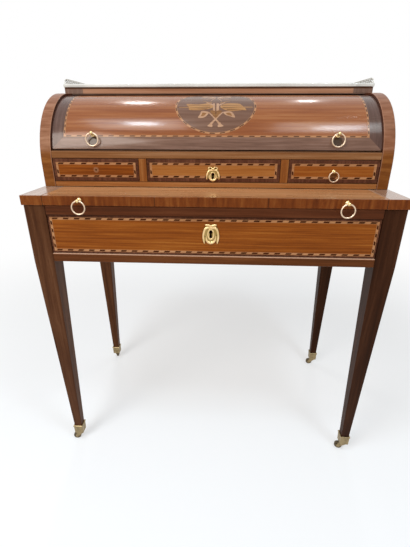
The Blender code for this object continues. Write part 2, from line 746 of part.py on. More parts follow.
def build_long_drawer():
    y0 = LEG_FRONT_Y + DRAWER_RECESS
    y1 = y0 + LONG_FRONT_THICK
    half = OPENING_HALF - FRONT_GAP
    z = (LOWER_TOP + FRONT_GAP, UPPER_BOTTOM - FRONT_GAP)
    front = board("long_drawer_front", (-half, half), (y0, y1), z, WOOD_TULIP, DRAWER_EDGE)
    key_z = (z[0] + z[1]) / 2 + LONG_KEY_RISE
    cut_keyhole(front, "long_keyhole", LONG_PLATE, key_z, (y0 - PLATE_GAUGE, y1))
    build_lock("long_lock", LONG_LOCK, LONG_PLATE, front, y1, z[1], key_z)
    build_escutcheon("long_escutcheon", LONG_PLATE, y0, key_z)

    tray_half = OPENING_HALF - RUN
    low = LOWER_TOP + SEAT
    tray_y = (y1 + SEAT, APRON_BACK_FRONT - LONG_TRAY_BACK_ROOM)
    outer = (-tray_half, tray_half, *tray_y, low, low + LONG_TRAY_HEIGHT)
    inner_half = tray_half - LONG_WALL
    inner = (-inner_half, inner_half, tray_y[0] + LONG_WALL, tray_y[1] - LONG_WALL, low + LONG_BOTTOM)
    cup("long_drawer_tray", outer, inner, WOOD_INSIDE)


def build_small_drawers():
    y0 = CASE_Y + SMALL_RECESS
    y1 = y0 + SMALL_FRONT_THICK
    z = (BASE_TOP + RUN, FLOOR_BOTTOM - FRONT_GAP)
    bays = {
        "left": (-INNER_HALF, -DIVIDER_OUT),
        "center": (-DIVIDER_IN, DIVIDER_IN),
        "right": (DIVIDER_OUT, INNER_HALF),
    }
    middle_z = (z[0] + z[1]) / 2
    for place, (x0, x1) in bays.items():
        name = f"small_drawer_{place}"
        x = (x0 + FRONT_GAP, x1 - FRONT_GAP)
        front = board(name + "_front", x, (y0, y1), z, WOOD_TULIP, DRAWER_EDGE)
        tray_y = (y1 + SEAT, BACK_PANEL_Y - SMALL_TRAY_BACK_ROOM)
        low = BASE_TOP + SEAT
        outer = (x0 + RUN, x1 - RUN, *tray_y, low, low + SMALL_TRAY_HEIGHT)
        wall = RUN + SMALL_WALL
        inner = (x0 + wall, x1 - wall, tray_y[0] + SMALL_WALL, tray_y[1] - SMALL_WALL, low + SMALL_BOTTOM)
        cup(name + "_tray", outer, inner, WOOD_INSIDE)
        pull = ((x0 + x1) / 2, y0, middle_z)
        if place == "left":
            hole = rod("pull_hole", PULL_HOLE / 2, y0 - RUN, y1 + RUN, "Y")
            boolean(front, helper("pull_hole", hole, (pull[0], 0, middle_z)))
        elif place == "right":
            ring_pull("drawer_right", pull, 0, SMALL_PULL_SCALE)
        else:
            key_z = middle_z + CENTER_KEY_RISE
            cut_keyhole(front, "center_keyhole", CENTER_PLATE, key_z, (y0 - PLATE_GAUGE, y1))
            build_lock("center_lock", CENTER_LOCK, CENTER_PLATE, front, y1, z[1], key_z)
            build_escutcheon("center_escutcheon", CENTER_PLATE, y0, key_z)


def case_profile():
    """Side panel's outline: a straight front that runs into a quarter round."""
    quarter = arc((AXIS_Y, AXIS_Z), PROFILE_RADIUS, 180, 90)
    return [(CASE_BACK_Y, CASE_BOTTOM), (CASE_Y, CASE_BOTTOM)] + quarter + [(CASE_BACK_Y, CASE_TOP)]


def sector(inner, outer, low, high, low_inner=None):
    """Ring sector about the fall's axis. Angles rise from 0 at the front to 90 at the top."""
    centre = (AXIS_Y, AXIS_Z)
    if low_inner is None:
        low_inner = low
    return arc(centre, outer, 180 - low, 180 - high) + arc(centre, inner, 180 - high, 180 - low_inner)


def build_case():
    """Sides with quadrant grooves, the drawer carcase, the writing floor, back, frieze board and marble."""
    end_play = degrees(GROOVE_END_GAP / TONGUE_MID)
    half_groove = TONGUE_THICK / 2 + GROOVE_CLEAR
    low = FALL_FOOT_IN - end_play
    high = FALL_TOP_ANGLE + FALL_OPENING + end_play
    depth = TONGUE_LENGTH - FALL_END_GAP + GROOVE_BOTTOM_GAP
    for side, sign in (("left", -1), ("right", 1)):
        name = "case_side_" + side
        span = sorted((sign * INNER_HALF, sign * CASE_HALF))
        panel = add(name, smooth(prism(name, case_profile(), span, "X"), 10), WOOD_BAND)
        groove = sector(TONGUE_MID - half_groove, TONGUE_MID + half_groove, low, high)
        cut = sorted((sign * (INNER_HALF - depth), sign * (INNER_HALF + depth)))
        boolean(panel, helper("groove_" + side, prism("groove", groove, cut, "X")))

    half = INNER_HALF - SEAT
    y = (CASE_Y + CASE_EDGE, BACK_PANEL_Y - SEAT)
    divider_top = FLOOR_BOTTOM - SEAT
    bay = [(half, BASE_BOTTOM), (half, BASE_TOP), (DIVIDER_OUT, BASE_TOP), (DIVIDER_OUT, divider_top)]
    bay += [(DIVIDER_IN, divider_top), (DIVIDER_IN, BASE_TOP)]
    outline = bay + [(-x, z) for x, z in bay[::-1]]
    add("drawer_carcase", prism("drawer_carcase", outline, y, "Y"), WOOD_TULIP)

    floor = board("case_floor", (-half, half), y, (FLOOR_BOTTOM, FLOOR_TOP), WOOD_TULIP, CASE_EDGE)
    small_back = CASE_Y + SMALL_RECESS + SMALL_FRONT_THICK
    cut_bolt_mortise(floor, "center_mortise", CENTER_LOCK, small_back, FLOOR_BOTTOM)
    board("case_back", (-half, half), (BACK_PANEL_Y, CASE_BACK_Y), (CASE_BOTTOM, CASE_TOP), WOOD_DARK)

    frieze_half = MARBLE_HALF - FRIEZE_INSET
    frieze_y = (MARBLE_Y + FRIEZE_INSET, CASE_BACK_Y)
    frieze_z = (FRIEZE_BOTTOM, FRIEZE_BOTTOM + FRIEZE_HEIGHT)
    board("case_top", (-frieze_half, frieze_half), frieze_y, frieze_z, WOOD_BAND, CASE_EDGE)
    marble_x = (-MARBLE_HALF, MARBLE_HALF)
    board("marble_top", marble_x, (MARBLE_Y, BACK), (MARBLE_BOTTOM, MARBLE_TOP), MARBLE, MARBLE_EDGE)


def lattice(length, start):
    """Two staggered rows of lozenge piercings between a bottom and a top rail, as outlines along a strip."""
    height = (GALLERY_HEIGHT - 2 * GALLERY_RAIL) / 2
    columns = int((length - start - GALLERY_PITCH) / GALLERY_PITCH)
    first = start + (length - start - columns * GALLERY_PITCH) / 2
    holes = []
    for row in range(2):
        level = GALLERY_RAIL + height * (row + 0.5)
        for i in range(columns + 1 - row):
            u = first + GALLERY_PITCH * (i + 0.5 * row)
            top = min(level + LOZENGE_TALL, GALLERY_HEIGHT - GALLERY_RAIL)
            low = max(level - LOZENGE_TALL, GALLERY_RAIL)
            holes.append([(u - LOZENGE_WIDE, level), (u, low), (u + LOZENGE_WIDE, level), (u, top)])
    return holes


def build_gallery_strip(name, length, place, turn, round_end):
    """A pierced brass strip standing on the marble, made along +X of its own frame."""
    if round_end:
        rise = GALLERY_HEIGHT - GALLERY_LIP
        corner = [(u * GALLERY_RAMP, GALLERY_LIP + v * rise) for u, v in arc((1, 0), 1, 180, 90, 15)]
    else:
        corner = [(0, GALLERY_HEIGHT)]
    outline = [(length, 0), (0, 0)] + corner + [(length, GALLERY_HEIGHT)]
    spread = (-GALLERY_THICK / 2, GALLERY_THICK / 2)
    strip = add(name, prism(name, outline, spread, "Y"), BRASS, place, turn)
    points = []
    faces = []
    for hole in lattice(length, GALLERY_RAMP / 2 if round_end else 0):
        base = len(points)
        points += [(u, -GALLERY_THICK, z) for u, z in hole]
        points += [(u, GALLERY_THICK, z) for u, z in hole]
        faces += [[base + i for i in range(4)], [base + 7 - i for i in range(4)]]
        for i in range(4):
            j = (i + 1) % 4
            faces.append([base + i, base + 4 + i, base + 4 + j, base + j])
    boolean(strip, helper(name + "_piercing", mesh_from(name + "_piercing", points, faces), place, turn))


def build_gallery():
    x = MARBLE_HALF - GALLERY_INSET
    y0 = MARBLE_Y + GALLERY_INSET
    y1 = BACK - GALLERY_INSET
    quarter = (0, 0, pi / 2)
    side_length = y1 - y0 - GALLERY_THICK / 2 - SEAT
    build_gallery_strip("gallery_left", side_length, (-x, y0, GALLERY_BOTTOM), quarter, True)
    build_gallery_strip("gallery_right", side_length, (x, y0, GALLERY_BOTTOM), quarter, True)
    half = x + GALLERY_THICK / 2
    build_gallery_strip("gallery_back", 2 * half, (-half, y1, GALLERY_BOTTOM), (0, 0, 0), False)


def build_fall():
    """The rigid curved fall and its ring pulls. A tongue at each end runs in the quadrant groove."""
    name = "cylinder_fall"
    axis = Vector((0, AXIS_Y, AXIS_Z))

    def about_axis(outline):
        return [(y - AXIS_Y, z - AXIS_Z) for y, z in outline]

    shell = about_axis(sector(FALL_IN, FALL_OUT, FALL_FOOT_OUT, FALL_TOP_ANGLE, FALL_FOOT_IN))
    fall = add(name, smooth(prism(name, shell, (-FALL_HALF, FALL_HALF), "X"), 10), WOOD_TULIP, axis)
    tongue = (TONGUE_MID - TONGUE_THICK / 2, TONGUE_MID + TONGUE_THICK / 2)
    strip = about_axis(sector(*tongue, FALL_FOOT_IN, FALL_TOP_ANGLE))
    reach = FALL_HALF + TONGUE_LENGTH - FALL_END_GAP
    for side, sign in (("left", -1), ("right", 1)):
        span = sorted((sign * (FALL_HALF - TONGUE_LENGTH), sign * reach))
        boolean(fall, helper("tongue_" + side, prism("tongue", strip, span, "X"), axis), "UNION")

    rise = radians(FALL_PULL_ANGLE)
    seat = (AXIS_Y - FALL_OUT * cos(rise), AXIS_Z + FALL_OUT * sin(rise))
    hinge = FALL_OUT + BOSS_EYE_HEIGHT
    drop = 2 * RING_RADIUS
    touch = FALL_OUT + RING_WIRE + SEAT
    fold = degrees(acos((hinge**2 + drop**2 - touch**2) / (2 * hinge * drop)))
    lean = fold + FALL_PULL_ANGLE - 90
    for side, sign in (("left", -1), ("right", 1)):
        ring_pull("fall_" + side, (sign * PULL_X, *seat), FALL_PULL_ANGLE, 1.0, lean)


def build_pigeonholes():
    """A low nest of open cells on the writing floor, clear of the fall's sweep."""
    half = INNER_HALF - NEST_SIDE_GAP
    y = (AXIS_Y - NEST_FRONT, AXIS_Y + NEST_BACK)
    low = FLOOR_TOP + SEAT
    nest = board("pigeonholes", (-half, half), y, (low, low + NEST_HEIGHT), WOOD_TULIP)
    cell = (2 * half - NEST_WALL) / NEST_CELLS
    for i in range(NEST_CELLS):
        x0 = -half + NEST_WALL + i * cell
        x = (x0, x0 + cell - NEST_WALL)
        z = (low + NEST_BASE, low + NEST_HEIGHT - NEST_WALL)
        cut_box(nest, f"cell_{i}", x, (y[0] - NEST_WALL, y[1] - NEST_WALL), z)


build_legs()
build_aprons()
build_table_top()
build_long_drawer()
build_small_drawers()
build_case()
build_gallery()
build_fall()
build_pigeonholes()
bpy.context.view_layer.update()
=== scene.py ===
import json
import math
from contextlib import contextmanager
import bmesh
import bpy
from mathutils import Matrix, Vector


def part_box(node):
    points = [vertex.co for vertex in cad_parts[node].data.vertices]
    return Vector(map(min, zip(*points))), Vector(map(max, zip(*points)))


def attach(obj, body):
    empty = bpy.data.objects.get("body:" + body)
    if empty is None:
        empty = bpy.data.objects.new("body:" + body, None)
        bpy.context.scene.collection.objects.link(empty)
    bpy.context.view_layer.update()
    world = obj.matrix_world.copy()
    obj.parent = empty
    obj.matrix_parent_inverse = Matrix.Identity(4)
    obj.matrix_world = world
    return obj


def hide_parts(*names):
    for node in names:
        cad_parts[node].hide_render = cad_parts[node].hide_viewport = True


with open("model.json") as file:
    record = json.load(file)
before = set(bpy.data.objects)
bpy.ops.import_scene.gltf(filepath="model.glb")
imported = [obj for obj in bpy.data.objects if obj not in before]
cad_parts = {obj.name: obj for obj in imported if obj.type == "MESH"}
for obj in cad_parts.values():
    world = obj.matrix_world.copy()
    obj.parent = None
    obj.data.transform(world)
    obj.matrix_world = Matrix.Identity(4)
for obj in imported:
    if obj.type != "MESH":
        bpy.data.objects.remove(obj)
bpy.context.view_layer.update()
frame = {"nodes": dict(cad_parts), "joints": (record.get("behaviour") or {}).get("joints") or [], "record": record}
scene = bpy.context.scene
scene.view_settings.view_transform = "Standard"
bodyOf = {node: body for body, group in frame["record"]["behaviour"]["bodies"].items() for node in group}
jointOf = {joint["name"]: joint for joint in frame["joints"]}
corners = ("front_left", "front_right", "rear_left", "rear_right")


def addObject(name, data):
    thing = bpy.data.objects.new(name, data)
    scene.collection.objects.link(thing)
    return thing


view = {
    "eye": (0.0258, -0.9798, 0.8992),
    "yaw": -2.908, "pitch": 23.304, "roll": 0.091,  # degrees, the pitch looks down
    "focal": 352.5, "tall": 547,  # pixels
}


def makeCamera():
    yaw, pitch, roll = (math.radians(view[key]) for key in ("yaw", "pitch", "roll"))
    ahead = Vector((math.sin(yaw) * math.cos(pitch), math.cos(yaw) * math.cos(pitch), -math.sin(pitch)))
    right = Vector((math.cos(yaw), -math.sin(yaw), 0))
    up = right.cross(ahead)
    right, up = right * math.cos(roll) + up * math.sin(roll), up * math.cos(roll) - right * math.sin(roll)
    data = bpy.data.cameras.new("camera")
    data.lens = view["focal"] / view["tall"] * data.sensor_width
    data.clip_start = 0.02
    camera = addObject("camera", data)
    camera.matrix_world = Matrix.Translation(view["eye"]) @ Matrix((right, up, -ahead)).transposed().to_4x4()
    scene.camera = camera


makeCamera()


# a socket that takes plain arithmetic
class Sock:
    def __init__(self, graph, socket):
        self.graph = graph
        self.socket = socket

    def __add__(self, other):
        return self.graph.math("ADD", self, other)

    def __radd__(self, other):
        return self.graph.math("ADD", other, self)

    def __sub__(self, other):
        return self.graph.math("SUBTRACT", self, other)

    def __rsub__(self, other):
        return self.graph.math("SUBTRACT", other, self)

    def __mul__(self, other):
        return self.graph.math("MULTIPLY", self, other)

    def __rmul__(self, other):
        return self.graph.math("MULTIPLY", other, self)

    def __truediv__(self, other):
        return self.graph.math("DIVIDE", self, other)

    def __rtruediv__(self, other):
        return self.graph.math("DIVIDE", other, self)

    def __gt__(self, other):
        return self.graph.math("GREATER_THAN", self, other)

    def __abs__(self):
        return self.graph.math("ABSOLUTE", self)


class Graph:
    def __init__(self, tree):
        self.tree = tree

    def add(self, kind, settings=None, sockets=None, out=0):
        node = self.tree.nodes.new(kind)
        for key, value in (settings or {}).items():
            if key == "stops":
                ramp = node.color_ramp
                while len(ramp.elements) < len(value):
                    ramp.elements.new(1.0)
                for element, (place, color) in zip(ramp.elements, value):
                    element.position = place
                    element.color = rgba(color)
            else:
                setattr(node, key, value)
        for key, value in (sockets or {}).items():
            self.feed(node.inputs[key], value)
        return Sock(self, node.outputs[out])

    def feed(self, socket, value):
        for one in value if isinstance(value, list) else [value]:
            if isinstance(one, Sock):
                self.tree.links.new(one.socket, socket)
            elif socket.type == "RGBA":
                socket.default_value = rgba(one)
            else:
                socket.default_value = one

    def math(self, operation, a, b=0.0):
        return self.add("ShaderNodeMath", {"operation": operation}, {0: a, 1: b})

    def least(self, a, b):
        return self.math("MINIMUM", a, b)

    def most(self, a, b):
        return self.math("MAXIMUM", a, b)

    def split(self, vector):
        node = self.add("ShaderNodeSeparateXYZ", None, {0: vector}).socket.node
        return [Sock(self, out) for out in node.outputs]

    def vector(self, x, y, z):
        return self.add("ShaderNodeCombineXYZ", None, {0: x, 1: y, 2: z})


def rgba(color):
    return (*color[:3], 1.0)


# a material and the sums that colour it, in the piece's own coordinates
class Finish(Graph):
    def __init__(self, name):
        self.material = bpy.data.materials.new(name)
        self.material.use_nodes = True
        super().__init__(self.material.node_tree)
        self.shader = self.tree.nodes["Principled BSDF"]
        self.place = self.add("ShaderNodeTexCoord", out="Object")
        self.x, self.y, self.z = self.split(self.place)

    def noise(self, vector, scale=1.0, detail=2.0, rough=0.5):
        return self.add("ShaderNodeTexNoise", None, {
            "Vector": vector, "Scale": scale, "Detail": detail, "Roughness": rough})

    def ramp(self, value, *stops):
        return self.add("ShaderNodeValToRGB", {"stops": stops}, {0: value})

    def mix(self, factor, a, b):
        return self.add("ShaderNodeMix", {"data_type": "RGBA"}, {0: factor, 6: a, 7: b}, 2)

    def pick(self, factor, a, b):
        return a + (b - a) * factor

    def step(self, value, low, high):
        return self.add("ShaderNodeMapRange", {"interpolation_type": "SMOOTHSTEP"},
                        {"Value": value, "From Min": low, "From Max": high})

    def bump(self, height, distance, strength=1.0):
        return self.add("ShaderNodeBump", None, {
            "Height": height, "Distance": distance, "Strength": strength})

    def dress(self, color, rough, metal=0.0, **sockets):
        values = {"Base Color": color, "Roughness": rough, "Metallic": metal}
        values.update({key.replace("_", " "): value for key, value in sockets.items()})
        for key, value in values.items():
            self.feed(self.shader.inputs[key], value)
        return self.material


stage = {
    "ambient": 0.42,
    "floorColor": (0.95, 0.95, 0.945),
    "floorReach": 30.0,
    "lift": 0.45,  # how far the floor is paled towards the backdrop's white
    "fade": (0.7, 2.2),  # metres from the desk over which it turns to that white
    "sky": (0.75, 0.88, 1.0),  # the cool light of the lamps that only show as a sheen
    "cool": ("leftFront", "leftVeil", "rightFront", "rightVeil"),
    "lamps": {  # place, aim, size, watts
        "leftFront": ((-0.565, -0.70, 2.60), (-0.565, -0.70, 0.0), (0.22, 0.26), 7.5),
        "leftVeil": ((-0.62, -0.78, 2.64), (-0.62, -0.78, 0.0), (0.70, 0.80), 9.5),
        "leftBack": ((-0.64, 1.12, 2.60), (-0.64, 0.90, 0.0), (0.18, 0.24), 4.5),
        "rightFront": ((0.87, -1.00, 2.60), (0.80, -0.90, 0.0), (0.34, 0.36), 8.0),
        "rightVeil": ((0.86, -1.00, 2.64), (0.80, -0.90, 0.0), (0.90, 0.75), 10.5),
        "rightBack": ((0.67, 1.38, 2.60), (0.67, 1.10, 0.0), (0.12, 0.20), 2.6),
        "spotNear": ((0.825, -0.24, 2.60), (0.825, -0.24, 0.0), (0.014, 0.014), 0.09),
        "spotFar": ((0.900, -0.24, 2.60), (0.900, -0.24, 0.0), (0.014, 0.014), 0.09),
        "key": ((-1.50, -2.00, 2.20), (0.0, -0.1, 0.60), (1.50, 1.10), 40.0),
        "fill": ((2.10, -2.00, 1.30), (0.0, -0.1, 0.50), (1.60, 1.40), 2.0),
    },
}


def makeStage():
    world = bpy.data.worlds.new("studio")
    scene.world = world
    world.use_nodes = True
    sky = Graph(world.node_tree)
    for node in list(world.node_tree.nodes):
        world.node_tree.nodes.remove(node)
    path = sky.add("ShaderNodeLightPath").socket.node.outputs
    seen = sky.most(sky.most(Sock(sky, path["Is Camera Ray"]), Sock(sky, path["Is Glossy Ray"])),
                    Sock(sky, path["Is Transmission Ray"]))
    light = sky.add("ShaderNodeBackground", None, {"Color": (1, 1, 1), "Strength": stage["ambient"]})
    white = sky.add("ShaderNodeBackground", None, {"Color": (1, 1, 1), "Strength": 1.0})
    both = sky.add("ShaderNodeMixShader", None, {0: seen, 1: light, 2: white})
    out = world.node_tree.nodes.new("ShaderNodeOutputWorld")
    sky.feed(out.inputs["Surface"], both)

    for name, (place, aim, size, watts) in stage["lamps"].items():
        lamp = bpy.data.lights.new(name, "AREA")
        lamp.shape = "RECTANGLE"
        lamp.size, lamp.size_y = size
        lamp.energy = watts
        lamp.color = stage["sky"] if name in stage["cool"] else (1, 1, 1)
        stand = addObject(name, lamp)
        ahead = (Vector(aim) - Vector(place)).normalized()
        right = ahead.cross(Vector((0, 1, 0))).normalized()
        turn = Matrix((right, right.cross(ahead), -ahead)).transposed()
        stand.matrix_world = Matrix.Translation(place) @ turn.to_4x4()

    reach = stage["floorReach"]
    mesh = bpy.data.meshes.new("floor")
    square = [(-reach, -reach, 0), (reach, -reach, 0), (reach, reach, 0), (-reach, reach, 0)]
    mesh.from_pydata(square, [], [(0, 1, 2, 3)])
    floor = addObject("floor", mesh)
    f = Finish("paleFloor")
    away = f.add("ShaderNodeVectorMath", {"operation": "LENGTH"}, {0: f.place}, "Value")
    path = f.add("ShaderNodeLightPath").socket.node.outputs
    seen = f.most(Sock(f, path["Is Camera Ray"]), Sock(f, path["Is Glossy Ray"]))
    far = (stage["lift"] + f.step(away, *stage["fade"]) * (1.0 - stage["lift"])) * seen
    f.dress(stage["floorColor"], 0.9, Specular_IOR_Level=0.0)
    glow = f.add("ShaderNodeEmission", None, {"Color": (1, 1, 1), "Strength": 1.0})
    both = f.add("ShaderNodeMixShader", None, {0: far, 1: Sock(f, f.shader.outputs[0]), 2: glow})
    f.feed(f.tree.nodes["Material Output"].inputs["Surface"], both)
    mesh.materials.append(f.material)


makeStage()
print("camera and stage ready")


# where the fall turns, and the height of its outer face over that axis
fallLow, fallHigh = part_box("cylinder_fall")
axis = Vector(jointOf["fall_roll"]["pos_m"])
fallRadius = axis.y - fallLow.y


# the grain of every veneer: how fine along and across it, per metre, then where its tones lie
sawn = {
    "bend": (5.0, 16.0), "drift": (3.0, 7.0), "pore": (75.0, 1300.0),
    "stops": (0.34, 0.50, 0.66), "driftShare": 0.24, "poreEdge": (0.56, 0.72),
}


# long streaks, slow drift and fine dark pores of a sawn veneer
def grain(f, along, across, depth, look):
    stripe, draw, seed = look["stripe"], look["draw"], look["seed"]
    (bendU, bendV), (driftU, driftV), (poreU, poreV) = sawn["bend"], sawn["drift"], sawn["pore"]
    bend = f.noise(f.vector(along * bendU + seed, across * bendV, depth * bendV)) - 0.5
    wander = across + bend * look["wander"]
    streak = f.noise(f.vector(along * draw, wander * stripe + seed, depth * stripe), 1.0, 5.0, 0.62)
    drift = f.noise(f.vector(along * driftU, across * driftV + seed, depth * driftV))
    pore = f.noise(f.vector(along * poreU, wander * poreV + seed, depth * poreV))
    stops = zip(sawn["stops"], (look["dark"], look["mid"], look["light"]))
    tone = f.ramp(streak * (1.0 - sawn["driftShare"]) + drift * sawn["driftShare"], *stops)
    fleck = f.step(pore, *sawn["poreEdge"])
    return f.mix(fleck * look["pores"], tone, look["dark"]), streak, fleck


# dark, middle and light tone in thousandths, stripes across, draw along, wander, pores and seed
veneers = {
    "soot": ((3, 1.2, 0.6), (6, 2.2, 1), (9, 3.5, 1.5), 95, 4.5, 0.006, 0.2, 0),
    "mahogany": ((44, 13.1, 4.9), (84, 29.3, 11.3), (129, 52, 22.6), 95, 4.5, 0.006, 0.55, 0),
    # darker copy of the leg mahogany for the right legs: partly a real difference in tone, partly painted shade
    "mahoganyDark": ((19, 4.8, 1.8), (34, 9.4, 3.4), (58, 19, 7.6), 95, 4.5, 0.006, 0.55, 2),
    "tulip": ((205, 48, 5.8), (286, 80, 10.8), (362, 125, 23), 230, 5, 0.004, 0.35, 0),
    # a lighter copy of the tulipwood for the centre drawer: painted light
    "tulipMiddle": ((240, 68, 12), (330, 113, 23), (410, 168, 44), 230, 5, 0.004, 0.35, 4),
    "tulipLong": ((138, 28, 2.1), (240, 59, 5.5), (350, 116, 17), 200, 4, 0.005, 0.35, 5),
    "band": ((45, 13, 6), (85, 25, 12), (140, 50, 26), 150, 14, 0.003, 0.45, 3),
    "slab": ((335, 134, 50), (448, 202, 83), (550, 288, 136), 105, 4.5, 0.006, 0.3, 7),
    # a greyer copy of the slab veneer for the end boards' tops: painted reflection of a bright surround
    "slabEnd": ((250, 130, 75), (345, 200, 128), (430, 270, 185), 105, 4.5, 0.006, 0.3, 9),
    "slabEdge": ((88, 16, 2.2), (146, 31.5, 4.6), (210, 60, 11.5), 120, 16, 0.003, 0.4, 11),
    "rail": ((160, 53, 14.8), (228, 93, 32), (305, 148, 66), 180, 4, 0.003, 0.35, 17),
    "divider": ((165, 44, 8), (245, 78, 16), (320, 125, 36), 170, 5, 0.003, 0.35, 18),
    "baseRail": ((245, 78, 18), (345, 130, 36), (440, 205, 80), 180, 4, 0.003, 0.35, 16),
    "darkRail": ((41, 9, 2.8), (76, 17.2, 5), (119, 34, 12), 130, 4, 0.003, 0.4, 19),
    "lowRail": ((58, 15, 3.4), (102, 26.5, 6), (150, 46, 12), 130, 4, 0.003, 0.4, 21),
    "fall": ((165, 36, 6), (245, 70, 16), (320, 120, 40), 95, 3.5, 0.006, 0.3, 23),
    # the fall's border in two copies of one veneer: lighter with a painted sheen on the top and bottom, darker
    # with painted shade at the ends
    "fallBand": ((95, 42, 26), (156, 76, 49), (220, 120, 85), 150, 8, 0.003, 0.4, 29),
    "fallEnds": ((50, 20, 14), (83, 38, 28), (125, 66, 52), 150, 8, 0.003, 0.4, 29),
    "ovalGround": ((96, 39, 21), (130, 58, 34), (170, 84, 53), 120, 5, 0.004, 0.3, 31),
    "sideFoot": ((120, 31, 4.5), (180, 54, 9), (262, 94, 21), 110, 12, 0.004, 0.4, 71),
    "sideEdge": ((145, 49, 21), (220, 85, 42), (315, 148, 85), 160, 16, 0.003, 0.4, 37),
    "frieze": ((260, 105, 50), (360, 165, 88), (450, 235, 140), 140, 4, 0.003, 0.35, 39),
    "friezeEnd": ((115, 62, 42), (175, 100, 72), (235, 145, 110), 140, 4, 0.003, 0.35, 40),
    "oak": ((200, 110, 50), (330, 200, 100), (430, 285, 160), 85, 3, 0.006, 0.6, 41),
    "backWood": ((60, 30, 16), (110, 58, 30), (160, 92, 52), 55, 2.5, 0.01, 0.5, 43),
    "string": ((300, 122, 46), (395, 178, 74), (475, 235, 108), 160, 12, 0.002, 0.3, 47),
    "dash": ((26, 5.5, 1.2), (48, 10, 2.2), (80, 20, 5), 160, 12, 0.002, 0.3, 53),
    "honey": ((255, 106, 28), (355, 165, 50), (445, 235, 86), 190, 14, 0.003, 0.3, 59),
    "amber": ((130, 46, 10), (200, 78, 19), (280, 125, 40), 190, 14, 0.003, 0.3, 61),
    "umber": ((60, 20, 5), (110, 40, 10), (170, 70, 20), 190, 14, 0.003, 0.3, 64),
    "blush": ((305, 152, 78), (395, 214, 118), (475, 275, 165), 190, 14, 0.003, 0.25, 67),
}
lookKeys = ("dark", "mid", "light", "stripe", "draw", "wander", "pores", "seed")
looks = {name: dict(zip(lookKeys, (*[tuple(part / 1000 for part in tone) for tone in row[:3]], *row[3:])))
         for name, row in veneers.items()}
polish = {"Specular_IOR_Level": 0.18, "Specular_Tint": (1.0, 0.74, 0.48)}
lacquer = {"Coat_Weight": 0.45, "Coat_Roughness": 0.13, **polish}


# which way the grain runs: along it, across it and into the piece
def grainAlong(sides):
    return lambda f: [getattr(f, side) for side in sides]


grainX, grainY, grainZ, grainSide = (grainAlong(sides) for sides in ("xzy", "yxz", "zxy", "yzx"))


def grainFall(f):
    around = f.math("ARCTAN2", f.z - axis.z, axis.y - f.y)
    return f.x, around * fallRadius, 0.0


# glue lines between veneers: how soft they are, where they end and how dark they are
glue = {"soft": 0.0003, "joint": (0.0003, 0.0009), "mitre": (0.0002, 0.0007), "share": 0.55}


# masks that turn on past a level, or fade out there
def past(side, level, soft=glue["soft"], share=1.0):
    return lambda f: f.step(getattr(f, side), level - soft, level + soft) * share


def upTo(side, level, soft=glue["soft"], share=1.0):
    return lambda f: (1.0 - f.step(getattr(f, side), level - soft, level + soft)) * share


# old wax: how uneven its gloss is, and how deep the grain lies in it
wax = {"wear": (22.0, 3.0), "uneven": 0.10, "poreRough": 0.08, "poreDeep": 0.6, "relief": (0.00012, 0.35)}


def waxed(f, color, streak, fleck, rough, sockets):
    uneven = (f.noise(f.place, *wax["wear"]) - 0.5) * wax["uneven"]
    return f.dress(color, rough + uneven + fleck * wax["poreRough"], **{**polish, **sockets},
                   Normal=f.bump(streak - fleck * wax["poreDeep"], *wax["relief"]))


# one veneer all over, with a painted highlight and with dark lines for joints and painted shadow where the given
# masks say
def plainWood(name, look, way, rough=0.34, paintedHighlight=None, lines=None, bare=None, **sockets):
    f = Finish(name)
    color, streak, fleck = grain(f, *way(f), looks[look])
    if paintedHighlight:
        color = f.mix(paintedHighlight(f), color, bare or looks[look]["light"])
    if lines:
        color = f.mix(lines(f), color, looks["dash"]["mid"])
    return waxed(f, color, streak, fleck, rough, sockets)


# two veneers, the second one where the mask is 1 and waxed to a shine if asked, with dark lines for glue joints
# and painted shadow, and a painted highlight where asked
def pairedWood(name, first, second, mask, lines=None, rough=0.34, waxy=0.0, paintedHighlight=None, **sockets):
    f = Finish(name)
    color, streak, fleck = grain(f, *first[1](f), looks[first[0]])
    other, otherStreak, otherFleck = grain(f, *second[1](f), looks[second[0]])
    share = mask(f)
    color = f.mix(share, color, other)
    if paintedHighlight:
        color = f.mix(paintedHighlight(f), color, looks[first[0]]["light"])
    if lines:
        color = f.mix(lines(f), color, looks["dash"]["mid"])
    if waxy:
        sockets = {"Coat_Weight": share * waxy, "Coat_Roughness": 0.16, **sockets}
    streak, fleck = f.pick(share, streak, otherStreak), f.pick(share, fleck, otherFleck)
    return waxed(f, color, streak, fleck, rough, sockets)


# a panel inside a border that is mitred at the corners
def panelled(name, way, middle, half, inner, outer, cross=True, behind=None, mark=None, shadedEnds=None,
             rough=0.30, **sockets):
    f = Finish(name)
    u, v, depth = way(f)
    overU = abs(u - middle[0]) - half[0]
    overV = abs(v - middle[1]) - half[1]
    over = f.most(overU, overV)
    ends = overU > overV
    color, streak, fleck = grain(f, u, v, depth, looks[inner])
    first, second = (v, u) if cross else (u, v)
    along, across = f.pick(ends, first, second), f.pick(ends, second, first)
    bandColor, _, bandFleck = grain(f, along, across, depth, looks[outer])
    if shadedEnds:
        bandColor = f.mix(ends, bandColor, grain(f, along, across, depth, looks[shadedEnds])[0])
    outside = f.step(over, -glue["soft"], glue["soft"])
    color = f.mix(outside, color, bandColor)
    joint = 1.0 - f.step(abs(over), *glue["joint"])
    mitre = (1.0 - f.step(abs(overU - overV), *glue["mitre"])) * outside
    color = f.mix(f.most(joint, mitre) * glue["share"], color, looks[outer]["dark"])
    if mark:
        color = mark(f, color)
    if behind:
        core = grain(f, *way(f), looks["oak"])[0]
        color = f.mix(behind(f), color, core)
    return waxed(f, color, streak - joint * 0.5, f.pick(outside, fleck, bandFleck), rough, sockets)


rubAndShadowTone = (0.028, 0.016, 0.006)


# the dark disc round a hanging ring: the print it rubs into the wood, with the ring's painted shadow
def ringRubAndShadow(at, reach, share, way):
    def mark(f, color):
        u, v, _ = way(f)
        u, v = abs(u) - at[0], v - at[1]
        away = f.math("SQRT", u * u + v * v)
        return f.mix((1.0 - f.step(away, *reach)) * share, color, rubAndShadowTone)
    return mark


